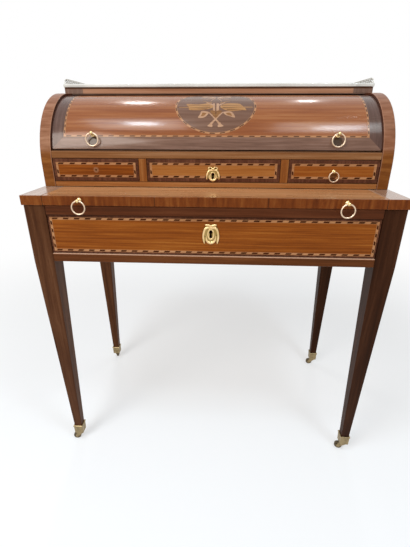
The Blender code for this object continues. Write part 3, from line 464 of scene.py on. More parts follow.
# scale, detail and roughness of the noise on metal, and the part of it that shows
tarnish = {
    "cloud": (90.0, 4.0, 0.6), "cloudEdge": (0.40, 0.70), "cloudRough": 0.22,
    "spots": (420.0, 3.0, 0.6), "spotEdge": (0.52, 0.72), "spotShare": 0.6, "spotRough": 0.10,
    "fine": (900.0, 2.0), "fineShare": 0.25, "relief": (0.00015, 0.5), "pitTone": 0.6,
}


# metal with handling wear: bright on top, brown in the pits
def metal(name, bright, dull, rough, grime, cast, deep=None):
    f, t = Finish(name), tarnish
    cloud = f.noise(f.place, *t["cloud"])
    spots = f.step(f.noise(f.place, *t["spots"]), *t["spotEdge"])
    color = f.mix(f.step(cloud, *t["cloudEdge"]) * grime, bright, dull)
    color = f.mix(spots * grime * t["spotShare"], color, dull)
    if deep:
        color = f.mix(deep(f), color, tuple(channel * t["pitTone"] for channel in dull))
    fine = f.noise(f.place, *t["fine"])
    return f.dress(color, rough + (cloud - 0.5) * t["cloudRough"] + spots * t["spotRough"], 1.0,
                   Normal=f.bump(cloud * cast + fine * t["fineShare"], *t["relief"]))


marble = {
    "tones": ((0.35, (0.60, 0.57, 0.51)), (0.55, (0.70, 0.67, 0.605)), (0.75, (0.76, 0.735, 0.68))),
    "warp": (5.0, 4.0, 0.6), "cloud": (9.0, 4.0, 0.55),
    "vein": (0.004, 0.035), "veinTone": (0.40, 0.385, 0.36), "veinShare": 0.55, "veined": (0.40, 0.65),
}


def marbleFinish():
    f, s = Finish("creamMarble"), marble
    warp = f.noise(f.place, *s["warp"])
    bent = f.vector(f.x * 3.0 + warp * 1.6, f.y * 5.0 + warp * 1.2, f.z * 5.0)
    vein = abs(f.noise(bent, 1.0, 5.0, 0.6) - 0.5)
    thin = 1.0 - f.step(vein, *s["vein"])
    cloud = f.noise(f.place, *s["cloud"])
    color = f.ramp(cloud, *s["tones"])
    color = f.mix(thin * f.step(warp, *s["veined"]) * s["veinShare"], color, s["veinTone"])
    return f.dress(color, 0.20 + cloud * 0.10, Coat_Weight=0.15, Coat_Roughness=0.08)


hide = {
    "tones": ((0.35, (0.120, 0.045, 0.018)), (0.52, (0.200, 0.082, 0.033)), (0.68, (0.270, 0.125, 0.056))),
    "cloud": (12.0, 4.0, 0.6), "pebbles": 900.0, "relief": (0.0002, 0.5),
    "rubbed": (3.5, 3.0), "rubbedEdge": (0.50, 0.72), "rubbedShare": 0.45,
    "rubbedTone": (0.330, 0.180, 0.095),
}


def leatherFinish():
    f, s = Finish("tanLeather"), hide
    cells = f.add("ShaderNodeTexVoronoi", None, {"Vector": f.place, "Scale": s["pebbles"]})
    cloud = f.noise(f.place, *s["cloud"])
    rubbed = f.step(f.noise(f.place, *s["rubbed"]), *s["rubbedEdge"])
    color = f.mix(rubbed * s["rubbedShare"], f.ramp(cloud, *s["tones"]), s["rubbedTone"])
    return f.dress(color, 0.42 + cloud * 0.16, Normal=f.bump(cells, *s["relief"]), Specular_IOR_Level=0.4)


finishes = {
    "legs": plainWood("legMahogany", "mahogany", grainZ, 0.44, Specular_IOR_Level=0.11),
    "darkLegs": plainWood("darkLegMahogany", "mahoganyDark", grainZ, 0.44, Specular_IOR_Level=0.11),
    "lining": plainWood("oakLining", "oak", grainY, 0.58),
    "nest": plainWood("pigeonholeWood", "rail", grainY, 0.45),
    "string": plainWood("paleStringing", "string", grainX, 0.32),
    "dash": plainWood("darkStringing", "dash", grainX, 0.40, Specular_IOR_Level=0.06),
    # a near-black sheet in the keyholes and nail holes: painted shade
    "keyhole": plainWood("keyholeDark", "soot", grainZ, 0.9, Specular_IOR_Level=0.0),
    "gilt": metal("giltBrass", (0.78, 0.59, 0.29), (0.38, 0.23, 0.075), 0.30, 0.40, 0.3),
    "ring": metal("ringBrass", (0.78, 0.60, 0.43), (0.40, 0.26, 0.15), 0.32, 0.40, 0.3),
    "sabot": metal("sabotBrass", (0.36, 0.27, 0.145), (0.12, 0.085, 0.040), 0.38, 0.50, 0.5),
    "wheel": metal("wheelBrass", (0.14, 0.105, 0.065), (0.040, 0.030, 0.019), 0.42, 0.6, 0.5),
    "gallery": metal("galleryBrass", (0.54, 0.51, 0.44), (0.24, 0.21, 0.16), 0.36, 0.40, 0.3),
    "galleryKnots": metal("galleryKnotBrass", (0.16, 0.15, 0.13), (0.06, 0.05, 0.04), 0.40, 0.5, 0.3),
    "lock": metal("lockBrass", (0.62, 0.44, 0.20), (0.26, 0.16, 0.06), 0.34, 0.5, 0.3),
    "steel": metal("lockSteel", (0.46, 0.45, 0.43), (0.20, 0.17, 0.14), 0.40, 0.5, 0.3),
    "marble": marbleFinish(),
    "leather": leatherFinish(),
}
inlays = {tone: (tone + "Inlay", tone) for tone in ("honey", "amber", "blush", "umber")}
inlays["fallString"], inlays["fallDash"] = ("fallStringing", "string"), ("fallDashes", "dash")
inlays["oval"] = ("ovalGround", "ovalGround")
for key, (name, look) in inlays.items():
    finishes[key] = plainWood(name, look, grainFall, 0.24, **lacquer)
print("finishes ready")


@contextmanager
def editing(mesh):
    work = bmesh.new()
    work.from_mesh(mesh)
    yield work
    work.to_mesh(mesh)
    work.free()


def makeMesh(name, points, faces, smooth=35.0):
    mesh = bpy.data.meshes.new(name)
    mesh.from_pydata([tuple(point) for point in points], [], faces)
    return tidyMesh(mesh, smooth)


def tidyMesh(mesh, smooth=35.0):
    with editing(mesh) as work:
        bmesh.ops.remove_doubles(work, verts=work.verts, dist=1e-6)
        bmesh.ops.recalc_face_normals(work, faces=work.faces)
    return shaded(mesh, smooth)


def shaded(mesh, smooth=35.0):
    mesh.shade_smooth()
    mesh.set_sharp_from_angle(angle=math.radians(smooth))
    return mesh


def joinMeshes(name, parts):
    mesh = bpy.data.meshes.new(name)
    with editing(mesh) as work:
        for part in parts:
            work.from_mesh(part)
            bpy.data.meshes.remove(part)
    return mesh


# the finished mesh of an object that is then dropped
def harvest(maker):
    graph = bpy.context.evaluated_depsgraph_get()
    mesh = bpy.data.meshes.new_from_object(maker.evaluated_get(graph), depsgraph=graph)
    bpy.data.objects.remove(maker)
    return mesh


def evaluated(mesh, *steps):
    maker = addObject("maker", mesh)
    for kind, values in steps:
        step = maker.modifiers.new(kind, kind)
        for key, value in values.items():
            if isinstance(key, tuple):  # an input of a node tree, by its identifier
                step[key[0]] = value
            else:
                setattr(step, key, value)
    return harvest(maker)


# eased edges; the broad faces keep their own normals, so that they stay flat in the light
def rounded(mesh, width, segments=2, angle=28.0):
    made = evaluated(mesh, ("BEVEL", {
        "width": width, "segments": segments, "limit_method": "ANGLE", "angle_limit": math.radians(angle)}))
    return evaluated(shaded(made, 60.0), ("WEIGHTED_NORMAL", {"keep_sharp": True, "weight": 90}))


def cutBy(mesh, cutter):
    tool = addObject("cutter", cutter)
    made = evaluated(mesh, ("BOOLEAN", {"operation": "DIFFERENCE", "solver": "EXACT", "object": tool}))
    bpy.data.objects.remove(tool)
    return made


def place(name, mesh, body, slot, *finish, instead=()):
    piece = addObject(name, mesh)
    mesh.materials.clear()
    for one in finish:
        mesh.materials.append(one)
    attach(piece, body)
    if instead:
        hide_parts(*instead)
    return piece


# a piece that takes the place of a node
def standIn(node, ending, mesh, slot, *finish):
    return place(node + ending, mesh, bodyOf[node], slot, *finish, instead=(node,))


def dressNode(node, finish):
    piece = frame["nodes"][node]
    if not piece.material_slots:
        piece.data.materials.append(finish)
    for slot in piece.material_slots:
        slot.material = finish


# a node's own shape with its edges eased, as a hand plane and years of waxing leave them
def eased(node, width, slot, finish, segments=2):
    source = frame["nodes"][node].data.copy()
    with editing(source) as work:
        bmesh.ops.remove_doubles(work, verts=work.verts, dist=2e-6)
        bmesh.ops.dissolve_limit(work, angle_limit=math.radians(0.6), verts=work.verts, edges=work.edges)
    stale = [a.name for a in source.attributes if a.name in ("custom_normal", "sharp_edge", "sharp_face")]
    for name in stale:
        source.attributes.remove(source.attributes[name])
    return standIn(node, ".eased", rounded(source, width, segments), slot, finish)


def prismX(name, outline, low, high):
    n = len(outline)
    points = [(x, y, z) for x in (low, high) for y, z in outline]
    faces = [tuple(range(n)), tuple(range(2 * n - 1, n - 1, -1))]
    faces += [(i, (i + 1) % n, n + (i + 1) % n, n + i) for i in range(n)]
    return makeMesh(name, points, faces)


# quads between rows of n points; the rows and their points may close round
def quads(rows, n, loop, ring, first=0):
    faces = []
    for i in range(rows if loop else rows - 1):
        here, there = first + i * n, first + (i + 1) % rows * n
        for k in range(n if ring else n - 1):
            m = (k + 1) % n
            faces.append((here + k, there + k, there + m, here + m))
    return faces


# a turned form standing on its base point: pairs of radius and height, from the tip down
def lathe(name, profile, base, side, ahead, steps=48):
    back = ahead.cross(side)
    points = []
    for i in range(steps):
        a = 2 * math.pi * i / steps
        out = side * math.cos(a) + back * math.sin(a)
        points += [base + out * r + ahead * h for r, h in profile]
    return makeMesh(name, points, quads(steps, len(profile), True, False), 50.0)


def torus(name, middle, side, down, radius, wire, steps=88, around=18):
    ahead = side.cross(down)
    points = []
    for i in range(steps):
        a = 2 * math.pi * i / steps
        out = side * math.sin(a) - down * math.cos(a)
        for k in range(around):
            b = 2 * math.pi * k / around
            points.append(middle + out * (radius + wire * math.cos(b)) + ahead * wire * math.sin(b))
    return makeMesh(name, points, quads(steps, around, True, True), 80.0)


# a half-round moulding of changing width along a path
def sweep(path, wide, high, closed=False, floor=0.0, steps=8):
    up = Vector((0, 0, 1))
    points = []
    count, n = len(path), steps + 1
    for i, point in enumerate(path):
        last = path[i - 1] if i or closed else path[i]
        onward = path[(i + 1) % count] if i + 1 < count or closed else path[i]
        across = (onward - last).normalized().cross(up).normalized()
        for k in range(n):
            a = math.pi * k / steps
            points.append(point + across * math.cos(a) * wide[i] + up * (math.sin(a) * high[i] + floor))
    faces = quads(count, n, closed, True)
    if not closed:
        faces += [tuple(range(n)), tuple((count - 1) * n + k for k in reversed(range(n)))]
    return makeMesh("moulding", points, faces, 50.0)


def ellipse(middle, half, steps=48, start=0.0, end=360.0):
    count = steps if end - start >= 360.0 else steps + 1
    turns = [math.radians(start + (end - start) * i / steps) for i in range(count)]
    return [(middle[0] + half[0] * math.cos(a), middle[1] + half[1] * math.sin(a)) for a in turns]


# a flat sheet cut to outlines, its underside a little below 0
def sheetCut(name, loops, rise, ease=0.0, sunk=0.0001):
    curve = bpy.data.curves.new(name, "CURVE")
    curve.dimensions = "2D"
    curve.fill_mode = "BOTH"
    for loop in loops:
        line = curve.splines.new("POLY")
        line.points.add(len(loop) - 1)
        for point, (u, v) in zip(line.points, loop):
            point.co = (u, v, 0.0, 1.0)
        line.use_cyclic_u = True
    thick = rise + sunk
    curve.extrude = thick / 2 - ease
    curve.bevel_depth = ease
    curve.bevel_resolution = 1
    curve.offset = -ease
    mesh = harvest(addObject(name, curve))
    mesh.transform(Matrix.Translation((0, 0, thick / 2 - sunk)))
    return tidyMesh(mesh)


# carries a flat mesh (u, v, rise) to the surface it lies on
def lay(mesh, surface, slices=0.0):
    if slices:
        with editing(mesh) as work:
            low = min(vert.co.y for vert in work.verts)
            high = max(vert.co.y for vert in work.verts)
            for i in range(1, int((high - low) / slices) + 1):
                bmesh.ops.bisect_plane(work, geom=work.verts[:] + work.edges[:] + work.faces[:],
                                       plane_co=(0, low + i * slices, 0), plane_no=(0, 1, 0))
    for vert in mesh.vertices:
        vert.co = surface(*vert.co)
    mesh.update()
    return tidyMesh(mesh)


def frontFace(y, lift=0.0):
    return lambda u, v, rise: Vector((u, y - rise, v + lift))


def topFace(z):
    return lambda u, v, rise: Vector((u, v, z + rise))


def sideFace(x, sign):
    return lambda u, v, rise: Vector((x + sign * rise, u, v))


# on the fall, v is the way along the curve from the height of its axis
def fallFace(u, v, rise):
    a = v / fallRadius
    return Vector((u, axis.y - (fallRadius + rise) * math.cos(a), axis.z + (fallRadius + rise) * math.sin(a)))


def arcAt(degrees):
    return math.radians(degrees) * fallRadius


def onArc(radius, degrees):
    a = math.radians(degrees)
    return axis.y - radius * math.cos(a), axis.z + radius * math.sin(a)


def arcPoints(radius, start, end, step):
    count = max(1, round(abs(end - start) / step))
    return [onArc(radius, start + (end - start) * i / count) for i in range(count + 1)]


# a Geometry Nodes tree that works along the edges of a path
class NodeTree(Graph):
    def __init__(self, name, *inputs):
        tree = bpy.data.node_groups.new(name, "GeometryNodeTree")
        super().__init__(tree)
        tree.interface.new_socket("Path", in_out="INPUT", socket_type="NodeSocketGeometry")
        self.keys = {}
        for key in (*inputs, "finish"):
            kind = "NodeSocketMaterial" if key == "finish" else "NodeSocketFloat"
            self.keys[key] = tree.interface.new_socket(key, in_out="INPUT", socket_type=kind).identifier
        tree.interface.new_socket("Geometry", in_out="OUTPUT", socket_type="NodeSocketGeometry")
        start = tree.nodes.new("NodeGroupInput")
        self.outer = {out.name: Sock(self, out) for out in start.outputs if out.name}
        self.end = tree.nodes.new("NodeGroupOutput")

    def line(self):
        return self.add("GeometryNodeMeshToCurve", None, {0: self.outer["Path"]})

    # points along the path, and the turn that sets X along it
    def spots(self):
        found = self.add("GeometryNodeCurveToPoints", {"mode": "LENGTH"},
                         {"Curve": self.line(), "Length": self.outer["pitch"]})
        tangent = Sock(self, found.socket.node.outputs["Tangent"])
        turn = self.add("FunctionNodeAlignRotationToVector", {"axis": "X", "pivot_axis": "Z"},
                        {"Vector": tangent})
        return found, turn

    def repeat(self, shape):
        found, turn = self.spots()
        return self.close(self.add("GeometryNodeInstanceOnPoints", None,
                                   {"Points": found, "Instance": shape, "Rotation": turn}))

    def sweep(self, line, shape):
        return self.close(self.add("GeometryNodeCurveToMesh", None,
                                   {"Curve": line, "Profile Curve": shape, "Fill Caps": True}))

    def close(self, geometry):
        real = self.add("GeometryNodeRealizeInstances", None, {0: geometry})
        done = self.add("GeometryNodeSetMaterial", None, {"Geometry": real, "Material": self.outer["finish"]})
        self.feed(self.end.inputs[0], done)
        return self

    def grow(self, points, edges, **values):
        base = bpy.data.meshes.new("path")
        base.from_pydata(points, edges, [])
        settings = {"node_group": self.tree}
        settings.update({(self.keys[key],): value for key, value in values.items()})
        return evaluated(base, ("NODES", settings))


# a flat strip of stringing
def makeStripTree():
    t = NodeTree("strip", "width", "rise", "spacing")
    line = t.add("GeometryNodeResampleCurve", {"mode": "LENGTH"},
                 {"Curve": t.line(), "Length": t.outer["spacing"]})
    line = t.add("GeometryNodeSetCurveNormal", {"mode": "Z_UP"}, {"Curve": line})
    shape = t.add("GeometryNodeCurvePrimitiveQuadrilateral", None,
                  {"Width": t.outer["width"], "Height": t.outer["rise"]})
    return t.sweep(line, shape)


# short pieces with slanting ends, let into the strip
def makeDashTree():
    t = NodeTree("dashes", "long", "width", "rise", "slant", "pitch")
    dash = t.add("GeometryNodeMeshCube", None, {
        "Size": t.vector(t.outer["long"], t.outer["width"], t.outer["rise"]), "Vertices X": 4})
    y = t.split(t.add("GeometryNodeInputPosition"))[1]
    lean = t.vector(y * t.outer["slant"], 0.0, 0.0)
    return t.repeat(t.add("GeometryNodeSetPosition", None, {"Geometry": dash, "Offset": lean}))


# a round rod along the path
def makeRodTree():
    t = NodeTree("rods", "radius")
    shape = t.add("GeometryNodeCurvePrimitiveCircle", None, {"Resolution": 10, "Radius": t.outer["radius"]})
    return t.sweep(t.line(), shape)


# standing lozenges of wire, one after another
def makeLozengeTree():
    t = NodeTree("lozenges", "wide", "tall", "wire", "pitch")
    wide, tall = t.outer["wide"], t.outer["tall"]
    lozenge = t.add("GeometryNodeCurvePrimitiveQuadrilateral", {"mode": "POINTS"}, {
        "Point 1": t.vector(0.0 - wide, 0.0, 0.0), "Point 2": t.vector(0.0, 0.0, 0.0 - tall),
        "Point 3": t.vector(wide, 0.0, 0.0), "Point 4": t.vector(0.0, 0.0, tall)})
    shape = t.add("GeometryNodeCurvePrimitiveCircle", None, {"Resolution": 6, "Radius": t.outer["wire"]})
    return t.repeat(t.add("GeometryNodeCurveToMesh", None, {"Curve": lozenge, "Profile Curve": shape}))


# low domed heads
def makeNailTree():
    t = NodeTree("nails", "radius", "flat", "pitch")
    head = t.add("GeometryNodeMeshUVSphere", None, {"Segments": 10, "Rings": 6, "Radius": t.outer["radius"]})
    scale = t.vector(1.0, t.outer["flat"], 1.0)
    return t.repeat(t.add("GeometryNodeTransform", None, {"Geometry": head, "Scale": scale}))


stripTree, dashTree, rodTree = makeStripTree(), makeDashTree(), makeRodTree()
lozengeTree, nailTree = makeLozengeTree(), makeNailTree()
print("node trees ready")

stringing = {
    "width": 0.0054, "rise": 0.00016,
    "dashLong": 0.0125, "dashWide": 0.0036, "dashRise": 0.00030, "slant": 0.7,
    "pitch": 0.0252, "sidePitch": 0.0150, "sideLong": 0.0080,
    "fineWidth": 0.0042, "fineDash": 0.0022,  # of the lines on the fall
    "spacing": 0.004,
}


def chain(lines, closed=False):
    points, edges = [], []
    for line in lines:
        base, n = len(points), len(line)
        points += line
        edges += [(base + i, base + (i + 1) % n) for i in range(n if closed else n - 1)]
    return points, edges


# strips and dashes on flat (u, v) lines
def stringLines(lines, short=False, closed=False, fine=False):
    s = stringing
    width, dashWide = (s["fineWidth"], s["fineDash"]) if fine else (s["width"], s["dashWide"])
    pitch = s["sidePitch" if short else "pitch"]
    lines = [[Vector((*point, 0.0)) for point in line] for line in lines]
    strip = stripTree.grow(*chain(lines, closed), width=width, rise=2 * s["rise"], spacing=s["spacing"],
                           finish=finishes["string"])
    if not closed:
        trims = [(line[-1] - line[0]).normalized() * pitch * 0.5 for line in lines]
        lines = [[line[0] + trim, line[-1] - trim] for line, trim in zip(lines, trims)]
    dashes = dashTree.grow(*chain(lines, closed), long=s["sideLong" if short else "dashLong"], width=dashWide,
                           rise=2 * s["dashRise"], slant=s["slant"], pitch=pitch, finish=finishes["dash"])
    return strip, dashes


def setStringing(name, pairs, surface, body, fine=False):
    strips, dashes = zip(*pairs)
    kinds = ("fallString", "fallDash") if fine else ("string", "dash")
    place(name, lay(joinMeshes(name, strips), surface), body, "tulipwood", finishes[kinds[0]])
    name += "Dashes"
    place(name, lay(joinMeshes(name, dashes), surface), body, "crossband_wood", finishes[kinds[1]])


def boxStringing(name, low, high, surface, body, fine=False):
    (u0, v0), (u1, v1) = low, high
    gap = stringing["fineWidth" if fine else "width"] / 2
    level = [[(u0 - gap, v), (u1 + gap, v)] for v in (v0, v1)]
    upright = [[(u, v0 + gap), (u, v1 - gap)] for u in (u0, u1)]
    pairs = [stringLines(level, fine=fine), stringLines(upright, True, fine=fine)]
    setStringing(name, pairs, surface, body, fine)


# table: legs, rails, aprons and the top with its slide
table = {
    "rubbed": (0.0016, 0.85), "shadow": (0.0020, 0.9),  # painted highlight and painted shadow lines on the rails: how far in and how strong
    "lineSoft": 0.0004,
    "ease": 0.0006, "legEase": 0.0005,
    "bare": (0.500, 0.290, 0.185),  # colour of the painted highlight along the upper edge of the lower rail
    "edgeVeneer": 0.0010,
    "jointsAt": 0.123, "joint": (0.0008, 0.00176), "jointShare": 0.8,  # in the slide's front edge
    "border": (0.016, 0.019), "borderShare": 0.30,  # darker front border of the top
    "seam": (0.0004, 0.0009), "seamShare": 0.9,  # dark joints beside the slide
    "panelInset": 0.024,
}
slideLow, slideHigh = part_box("writing_slide")
behindEdge = past("y", slideLow.y + table["edgeVeneer"])


def slideJoints(f):
    behind = behindEdge(f)
    near = 1.0 - f.step(abs(abs(f.x) - table["jointsAt"]), *table["joint"])
    border = (1.0 - f.step(f.y - slideLow.y, *table["border"])) * behind * table["borderShare"]
    return f.most(f.most(near * (1.0 - behind) * table["jointShare"], border), slideSeam(f))


def slideSeam(f):
    return (1.0 - f.step(abs(abs(f.x) - slideHigh.x), *table["seam"])) * table["seamShare"]


def makeTable():
    for corner in corners:
        # the right legs take a darker copy of the mahogany, partly a real difference in tone and partly painted
        # shade
        tone = finishes["darkLegs" if "right" in corner else "legs"]
        eased("leg_" + corner, table["legEase"], "dark_wood", tone)
    (down, pale), (up, dark), soft = table["rubbed"], table["shadow"], table["lineSoft"]
    # painted shadow along the foot of the upper rail, and a painted highlight along the upper edge of the lower
    # rail
    shadowLine = upTo("z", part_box("rail_upper")[0].z + up, soft, dark)
    paintedTopHighlight = past("z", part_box("rail_lower")[1].z - down, soft, pale)
    upperWood = plainWood("upperRailWood", "darkRail", grainX, lines=shadowLine)
    lowerWood = plainWood("lowerRailWood", "lowRail", grainX, paintedHighlight=paintedTopHighlight, bare=table["bare"])
    eased("rail_upper", table["ease"], "dark_wood", upperWood)
    eased("rail_lower", table["ease"], "tulipwood", lowerWood)
    top = {"rough": 0.28, "waxy": 0.5}
    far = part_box("table_end_right")[1]

    def endTop(f):
        outer = f.most(abs(f.x) - far.x, f.y - far.y)
        return behindEdge(f) * (1.0 - f.step(outer + table["edgeVeneer"], -glue["soft"], glue["soft"]))

    edge = ("slabEdge", grainZ)
    # the end boards' tops use the greyer copy of the slab veneer, a painted reflection
    endWood = pairedWood("tableEndVeneer", edge, ("slabEnd", grainY), endTop, slideSeam, **top)
    slideWood = pairedWood("slideVeneer", edge, ("slab", grainX), behindEdge, slideJoints, **top)
    for side in ("left", "right"):
        eased("table_end_" + side, table["ease"], "tulipwood", endWood)
    eased("writing_slide", table["ease"], "tulipwood", slideWood)

    low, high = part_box("apron_left")
    middle = ((low.y + high.y) / 2, (low.z + high.z) / 2)
    half = ((high.y - low.y) / 2 - table["panelInset"], (high.z - low.z) / 2 - table["panelInset"])
    apronWood = panelled("apronVeneer", grainSide, middle, half, "tulip", "band", rough=0.32)
    for side, sign in (("left", -1), ("right", 1)):
        eased("apron_" + side, table["ease"], "tulipwood", apronWood)
        face = low.x if sign < 0 else -low.x
        boxStringing("apronStringing." + side, (middle[0] - half[0], middle[1] - half[1]),
                     (middle[0] + half[0], middle[1] + half[1]), sideFace(face, sign), "desk")


makeTable()
print("table ready")

# pale print round the screw hole of the left small drawer
washer = {"at": (-0.2858, 0.7906), "rings": (0.0055, 0.0078), "share": 0.55}


def washerMark(f, color):
    u, v = f.x - washer["at"][0], f.z - washer["at"][1]
    away = f.math("SQRT", u * u + v * v)
    faded = 1.0 - f.step(away, *washer["rings"])
    return f.mix(faded * washer["share"], color, looks["blush"]["dark"])


# long drawer and small drawers: where the stringing runs, in from the front's edges
frontEase, frontVeneer = 0.0004, (0.0018, 0.0002)
smallFront = {"side": 0.0098, "top": 0.0110, "bottom": 0.0114}
drawers = {
    "long_drawer": {"side": 0.0070, "top": 0.0070, "bottom": 0.0072, "field": "tulipLong"},
    "small_drawer_left": {**smallFront, "field": "tulipLong", "mark": washerMark},
    # the centre drawer takes the lighter copy of the tulipwood, painted light
    "small_drawer_center": {**smallFront, "field": "tulipMiddle"},
    # the right drawer's ring leaves a dark disc: its rub print with the ring's painted shadow
    "small_drawer_right": {**smallFront, "field": "tulip",
                           "mark": ringRubAndShadow((0.2858, 0.7793), (0.0075, 0.0130), 0.62, grainX)},
}


def makeDrawers():
    for name, s in drawers.items():
        node = name + "_front"
        low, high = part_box(node)
        lowString = (low.x + s["side"], low.z + s["bottom"])
        highString = (high.x - s["side"], high.z - s["top"])
        middle = [(a + b) / 2 for a, b in zip(lowString, highString)]
        half = [(b - a) / 2 for a, b in zip(lowString, highString)]
        behind = past("y", low.y + frontVeneer[0], frontVeneer[1])
        wood = panelled(name + "Veneer", grainX, middle, half, s["field"], "band", behind=behind,
                        mark=s.get("mark"))
        eased(node, frontEase, "tulipwood", wood)
        boxStringing(name + "_stringing", lowString, highString, frontFace(low.y), name)
        dressNode(name + "_tray", finishes["lining"])
    for lock in ("long_lock", "center_lock"):
        dressNode(lock, finishes["lock"])
        dressNode(lock + "_bolt", finishes["steel"])


makeDrawers()
print("drawers ready")

# upper case: sides with their quadrant grooves, carcase, floor, back, frieze and marble
case = {
    "groove": (0.1525, 0.1595), "grooveDepth": 0.0044, "grooveEnds": (11.5, 158.0),
    "step": 1.5, "ease": 0.0007, "carcaseEase": 0.0005, "railEase": 0.0006, "thinEase": 0.0004,
    "marbleEase": 0.0008, "trayGap": 0.0003,
    "border": 0.026, "string": (0.0008, 0.0016),  # of the sides' veneer
    "rubbed": (0.0010, 0.0022), "rubbedShare": 0.8, "darkFoot": 0.012,  # on the sides' front edges: a painted highlight along the inner edge, then the darker foot
    "dustFoot": (0.0012, 0.0004), "dustUnder": 0.0017, "dustShare": 0.85,  # painted shadow lines on the drawers' carcase, along its foot and under the drawers
    "arris": (0.0029, 0.0007, 0.5),  # painted highlight along the floor's top edge, then the painted shadow under the fall
    "fallTop": (0.00145, 0.00025), "fallFront": (0.0015, 0.0005),
    # the frieze's crossbanded ends, then how deep and how dark the painted shadow under the marble reaches down
    # the frieze
    "friezeEnd": 0.050, "bead": 0.0036, "beadShare": 0.92,
    "stop": {"set": 0.0003, "down": 0.0017, "up": 0.0002, "deep": 0.0050, "cut": 0.0007, "ease": 0.0003},
    "board": 0.112, "boardGap": (0.488, 0.496), "boardShare": 0.9,  # of the back, the gap as a share
}
sideLow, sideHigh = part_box("case_side_right")
caseRadius = axis.y - sideLow.y


# how far a point on the side lies from its outline, and how far along it
def fromOutline(f):
    ahead = f.most(axis.y - f.y, 0.0)
    up = f.most(f.z - axis.z, 0.0)
    over = caseRadius - f.math("SQRT", ahead * ahead + up * up)
    edge = f.least(f.least(over, sideHigh.y - f.y), f.z - sideLow.z)
    straight = f.least(f.z - axis.z, 0.0) + f.most(f.y - axis.y, 0.0)
    return edge, f.math("ARCTAN2", up, ahead) * caseRadius + straight


def sideVeneer():
    f = Finish("caseSideVeneer")
    edge, around = fromOutline(f)
    color, streak, fleck = grain(f, *grainSide(f), looks["tulip"])
    bandColor, bandStreak, bandFleck = grain(f, edge, around, 0.0, looks["band"])
    inside = f.step(edge - case["border"], -glue["soft"], glue["soft"])
    joint = 1.0 - f.step(abs(edge - case["border"]), *case["string"])
    color = f.mix(inside, bandColor, color)
    color = f.mix(joint, color, looks["string"]["mid"])
    return waxed(f, color, f.pick(inside, bandStreak, streak), f.pick(inside, bandFleck, fleck), 0.32, {})


# a painted highlight along the inner edge of the sides' front edges, beside the fall
def paintedInnerEdgeHighlight(f):
    return (1.0 - f.step(abs(f.x) - sideLow.x, *case["rubbed"])) * case["rubbedShare"]


def makeCaseSide(side, sign, faceWood, edgeWood):
    s = case
    outline = [(sideHigh.y, sideLow.z), (sideLow.y, sideLow.z)]
    outline += arcPoints(caseRadius, 0, 90, s["step"]) + [(sideHigh.y, sideHigh.z)]
    inner, outer = sign * sideLow.x, sign * sideHigh.x
    panel = prismX("caseSide", outline, min(inner, outer), max(inner, outer))
    (near, far), (start, end) = s["groove"], s["grooveEnds"]
    groove = arcPoints(far, start, end, 2.0) + arcPoints(near, end, start, 2.0)
    mesh = cutBy(panel, prismX("groove", groove, inner - s["grooveDepth"], inner + s["grooveDepth"]))
    mesh = rounded(mesh, s["ease"], 2, 50.0)
    standIn("case_side_" + side, ".veneered", mesh, "crossband_wood", faceWood, edgeWood)
    for face in mesh.polygons:  # the edge finish lies where the face looks along the case
        face.material_index = 0 if abs(face.normal.x) > 0.7 else 1


def makeSides():
    faceWood = sideVeneer()
    foot = upTo("z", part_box("case_floor")[1].z, case["darkFoot"])
    edgeWood = pairedWood("sideEdgeWood", ("sideEdge", grainX), ("sideFoot", grainX), foot,
                          paintedHighlight=paintedInnerEdgeHighlight)
    for side, sign in (("left", -1), ("right", 1)):
        makeCaseSide(side, sign, faceWood, edgeWood)


# the drawers' carcase, with painted shadow along its foot and under the drawers
def makeCarcase():
    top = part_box("small_drawer_left_tray")[0].z - case["trayGap"]
    up, soft = case["dustFoot"]
    upright, under = past("z", top), past("z", top - case["dustUnder"])
    foot = upTo("z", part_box("drawer_carcase")[0].z + up, soft)

    # painted shadow along the carcase's foot and in a line under the drawers
    def paintedShadowLines(f):
        return f.most(foot(f), under(f) * (1.0 - upright(f))) * case["dustShare"]

    wood = pairedWood("carcaseWood", ("baseRail", grainX), ("divider", grainZ), upright, paintedShadowLines)
    eased("drawer_carcase", case["carcaseEase"], "tulipwood", wood)


def makeFloor():
    low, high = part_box("case_floor")
    (down, soft, share), (drop, blur), (deep, fade) = case["arris"], case["fallTop"], case["fallFront"]
    # a painted highlight along the floor's top edge, and painted shadow along its top front where the fall closes
    # on it
    paintedArrisHighlight = past("z", high.z - down, soft, share)
    topEdge, frontEdge = past("z", high.z - drop, blur), upTo("y", low.y + deep, fade)

    def fallGapShadow(f):
        return topEdge(f) * frontEdge(f)

    wood = plainWood("floorEdgeWood", "rail", grainX, paintedHighlight=paintedArrisHighlight, lines=fallGapShadow)
    eased("case_floor", case["railEase"], "tulipwood", wood)


# the frieze with the bead under it that the fall meets, a painted shadow along its top under the marble, and the
# marble on top
def makeFrieze():
    low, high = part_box("case_top")
    half = high.x - case["friezeEnd"]
    # painted shadow along the frieze's top, under the marble
    marbleShadowLine = past("z", high.z - case["bead"], share=case["beadShare"])

    def friezeEnds(f):
        return f.step(abs(f.x) - half, -glue["soft"], glue["soft"])

    wood = pairedWood("friezeVeneer", ("frieze", grainX), ("friezeEnd", grainZ), friezeEnds, marbleShadowLine)
    eased("case_top", case["railEase"], "crossband_wood", wood)
    eased("marble_top", case["marbleEase"], "white_marble", finishes["marble"], 3)
    s = case["stop"]
    front, foot, head = low.y + s["set"], low.z - s["down"], low.z + s["up"]
    deep, cut = front + s["deep"], s["cut"]
    outline = [(front, head), (front, foot + cut), (front + cut, foot), (deep, foot), (deep, head)]
    bead = rounded(prismX("friezeBead", outline, -sideLow.x, sideLow.x), s["ease"])
    place("friezeBead", bead, "desk", "dark_wood", plainWood("friezeBeadWood", "friezeEnd", grainX))


